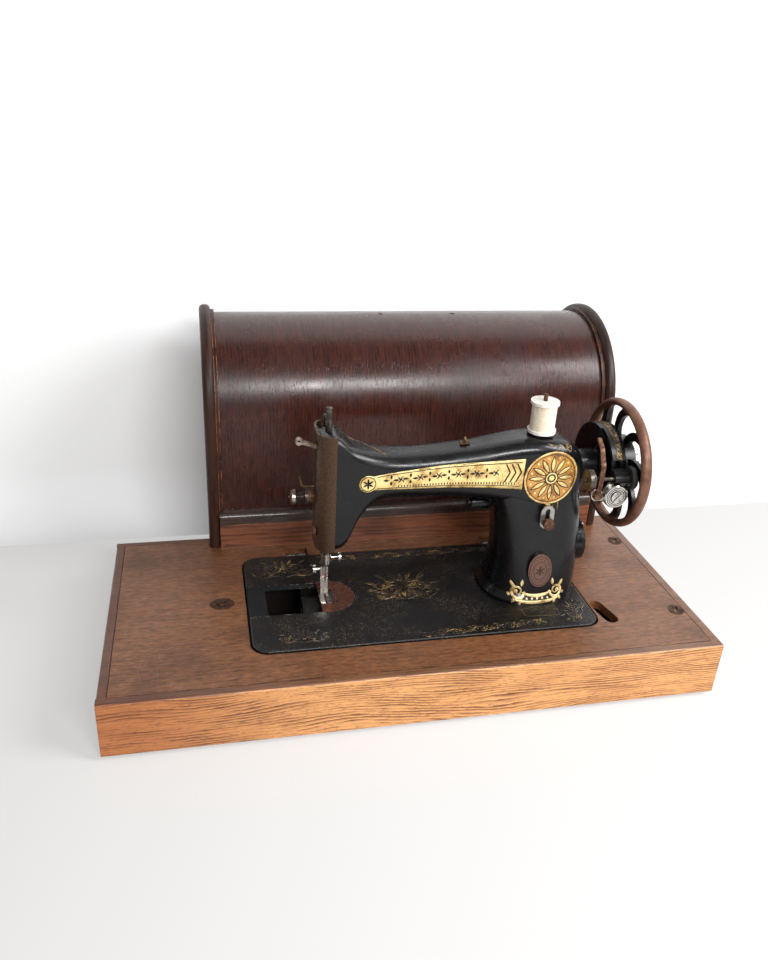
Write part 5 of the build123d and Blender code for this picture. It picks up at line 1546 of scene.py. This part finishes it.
@dataclass
class Studio:
    """Camera at the photograph's viewing angle, soft lamps, pale floor and backdrop.

    Attributes:
        camera_place: Where the camera stands, in metres.
        pitch: How far it looks down, in degrees.
        yaw: How far it looks to the right.
        roll: How far it leans.
        lens: Its focal length in millimetres.
        sensor: Width of its sensor in millimetres.
        wall_place: Depth of the wall.
        wall_height: Height of the wall.
        wall_reach: Half the wall's width.
        cove: Radius of the curve between floor and wall.
        cove_steps: Number of flat strips in that curve.
        floor_reach: Half the floor's width.
        shown: Share of plain white that the camera sees on the floor.
        wall_shown: The same on the wall.
        sky_low: Strength of the light from below.
        sky_high: Strength of the light from above.
        lamps: The lamps.
    """

    camera_place: Place = (-0.2065, -0.8539, 0.5871)
    pitch: float = 26.07
    yaw: float = 13.31
    roll: float = -3.26
    lens: float = 31.5
    sensor: float = 36.0
    wall_place: float = 0.246
    wall_height: float = 4.0
    wall_reach: float = 5.0
    cove: float = 0.075
    cove_steps: int = 10
    floor_reach: float = 6.0
    shown: float = 0.5
    wall_shown: float = 0.15
    sky_low: float = 0.12
    sky_high: float = 0.38
    lamps: tuple[Lamp, ...] = (
        Lamp("window", (1.3, -0.9, 1.3), (0.0, 0.0, 0.15), (0.8, 0.8), 33.0),
        Lamp("strip", (0.3, -2.2, 1.5), (0.0, 0.1, 0.25), (1.2, 0.35), 47.0),
    )

    def camera(self) -> None:
        """Create the camera and make it the scene's own."""
        cos_pitch, sin_pitch = cos(radians(self.pitch)), sin(radians(self.pitch))
        cos_yaw, sin_yaw = cos(radians(self.yaw)), sin(radians(self.yaw))
        cos_roll, sin_roll = cos(radians(self.roll)), sin(radians(self.roll))
        ahead = Vector((sin_yaw * cos_pitch, cos_yaw * cos_pitch, -sin_pitch))
        level_right = Vector((cos_yaw, -sin_yaw, 0.0))
        down = ahead.cross(level_right)
        right = level_right * cos_roll + down * sin_roll
        below = down * cos_roll - level_right * sin_roll
        data = bpy.data.cameras.new("camera")
        data.lens = self.lens
        data.sensor_width = self.sensor
        data.clip_start = 0.01
        data.clip_end = 50.0
        holder = bpy.data.objects.new("camera", data)
        turn = Matrix((right, -below, -ahead)).transposed()
        holder.matrix_world = Matrix.Translation(self.camera_place) @ turn.to_4x4()
        bpy.context.scene.collection.objects.link(holder)
        bpy.context.scene.camera = holder

    def pale(self, name: str, colour: Colour, shown: float, wall: bool = False) -> bpy.types.Material:
        """Pale matt material that the camera and reflections see nearly white, with the shadows kept, and
        with painted shade that greys that white toward the left.

        Args:
            name: The material's name.
            colour: The matt colour.
            shown: The share of plain white that the camera sees.
            wall: True for the wall, which lets the room's light through and doesn't show from behind.

        Returns:
            The material.
        """
        graph = Graph(name)
        across, _, _ = graph.split(graph.place())
        # Painted shade: the white the camera sees greys toward the left, where less lamp light falls
        shaded_glow = graph.mix(paint(222, 221, 219), paint(250, 250, 251), graph.between(across, -0.7, 0.15))
        matt = graph.node("ShaderNodeBsdfDiffuse", Color=colour)
        glow = graph.node("ShaderNodeEmission", Color=shaded_glow, Strength=1.0)
        path = graph.node("ShaderNodeLightPath").outputs
        seen = graph.math("MAXIMUM", path["Is Camera Ray"], path["Is Glossy Ray"])
        seen = graph.math("MAXIMUM", seen, path["Is Transmission Ray"])
        both = graph.node("ShaderNodeMixShader")
        graph.feed(both.inputs[0], graph.times(seen, shown))
        graph.feed(both.inputs[1], matt.outputs[0])
        graph.feed(both.inputs[2], glow.outputs[0])
        surface = both.outputs[0]
        if wall:
            _, behind, _ = graph.split(graph.node("ShaderNodeNewGeometry").outputs["Incoming"])
            solid = graph.times(seen, graph.math("LESS_THAN", behind, 0.0))
            clear = graph.node("ShaderNodeMixShader")
            graph.feed(clear.inputs[0], solid)
            graph.feed(clear.inputs[1], graph.node("ShaderNodeBsdfTransparent").outputs[0])
            graph.feed(clear.inputs[2], surface)
            surface = clear.outputs[0]
        graph.tree.links.new(surface, graph.output.inputs["Surface"])
        return graph.material

    def surface(self, name: str, corners: list[Place], faces: list[tuple[int, ...]],
                material: bpy.types.Material) -> None:
        """Add one surface of the stage.

        Args:
            name: The surface's name.
            corners: Its corners.
            faces: Its faces, by the numbers of their corners.
            material: Its material.
        """
        mesh = bpy.data.meshes.new(name)
        mesh.from_pydata([Vector(corner) for corner in corners], [], faces)
        mesh.shade_smooth()
        mesh.materials.append(material)
        holder = bpy.data.objects.new(name, mesh)
        bpy.context.scene.collection.objects.link(holder)

    def world(self) -> None:
        """Set the light that comes from all round, stronger from above, and plain white to the camera."""
        world = bpy.data.worlds.new("studio")
        world.use_nodes = True
        tree = world.node_tree
        nodes, links = tree.nodes, tree.links
        back = nodes["Background"]
        back.inputs["Color"].default_value = paint(250, 250, 252)
        parts = nodes.new("ShaderNodeSeparateXYZ")
        links.new(nodes.new("ShaderNodeTexCoord").outputs["Generated"], parts.inputs[0])
        step = nodes.new("ShaderNodeMapRange")
        links.new(parts.outputs["Z"], step.inputs["Value"])
        limits = {"From Min": -0.2, "From Max": 0.9, "To Min": self.sky_low, "To Max": self.sky_high}
        for socket, value in limits.items():
            step.inputs[socket].default_value = value
        links.new(step.outputs["Result"], back.inputs["Strength"])
        white = nodes.new("ShaderNodeBackground")
        white.inputs["Color"].default_value = paint(249, 250, 252)
        both = nodes.new("ShaderNodeMixShader")
        links.new(nodes.new("ShaderNodeLightPath").outputs["Is Camera Ray"], both.inputs[0])
        links.new(back.outputs[0], both.inputs[1])
        links.new(white.outputs[0], both.inputs[2])
        links.new(both.outputs[0], nodes["World Output"].inputs["Surface"])
        bpy.context.scene.world = world

    def floor(self) -> None:
        """Add the floor."""
        reach = self.floor_reach
        corners = [(-reach, -reach, 0), (reach, -reach, 0), (reach, reach, 0), (-reach, reach, 0)]
        material = self.pale("pale_floor", paint(222, 221, 218), self.shown)
        self.surface("floor", corners, [(0, 1, 2, 3)], material)

    def wall(self) -> None:
        """Add the wall close behind, which curves into the floor."""
        side = []
        for step in range(self.cove_steps + 1):
            angle = 0.5 * pi * step / self.cove_steps
            side.append((self.wall_place - self.cove * (1 - sin(angle)), MM + self.cove * (1 - cos(angle))))
        side.append((self.wall_place, self.wall_height))
        corners = [(x, y, z) for y, z in side for x in (-self.wall_reach, self.wall_reach)]
        faces = [(2 * step, 2 * step + 1, 2 * step + 3, 2 * step + 2) for step in range(len(side) - 1)]
        material = self.pale("pale_wall", paint(246, 246, 246), self.wall_shown, wall=True)
        self.surface("wall", corners, faces, material)

    def build(self) -> None:
        """Set the whole stage."""
        self.camera()
        self.world()
        for lamp in self.lamps:
            lamp.build()
        self.floor()
        self.wall()
        bpy.context.scene.view_settings.view_transform = "Standard"


def main() -> None:
    """Build everything in order."""
    logging.basicConfig(level=logging.INFO, format="%(name)s: %(message)s")
    Studio().build()
    Dressing().dress()
    Ornament().build()
    PresserSpring().build()
    log.info("sizes written")


if __name__ == "__main__":
    main()
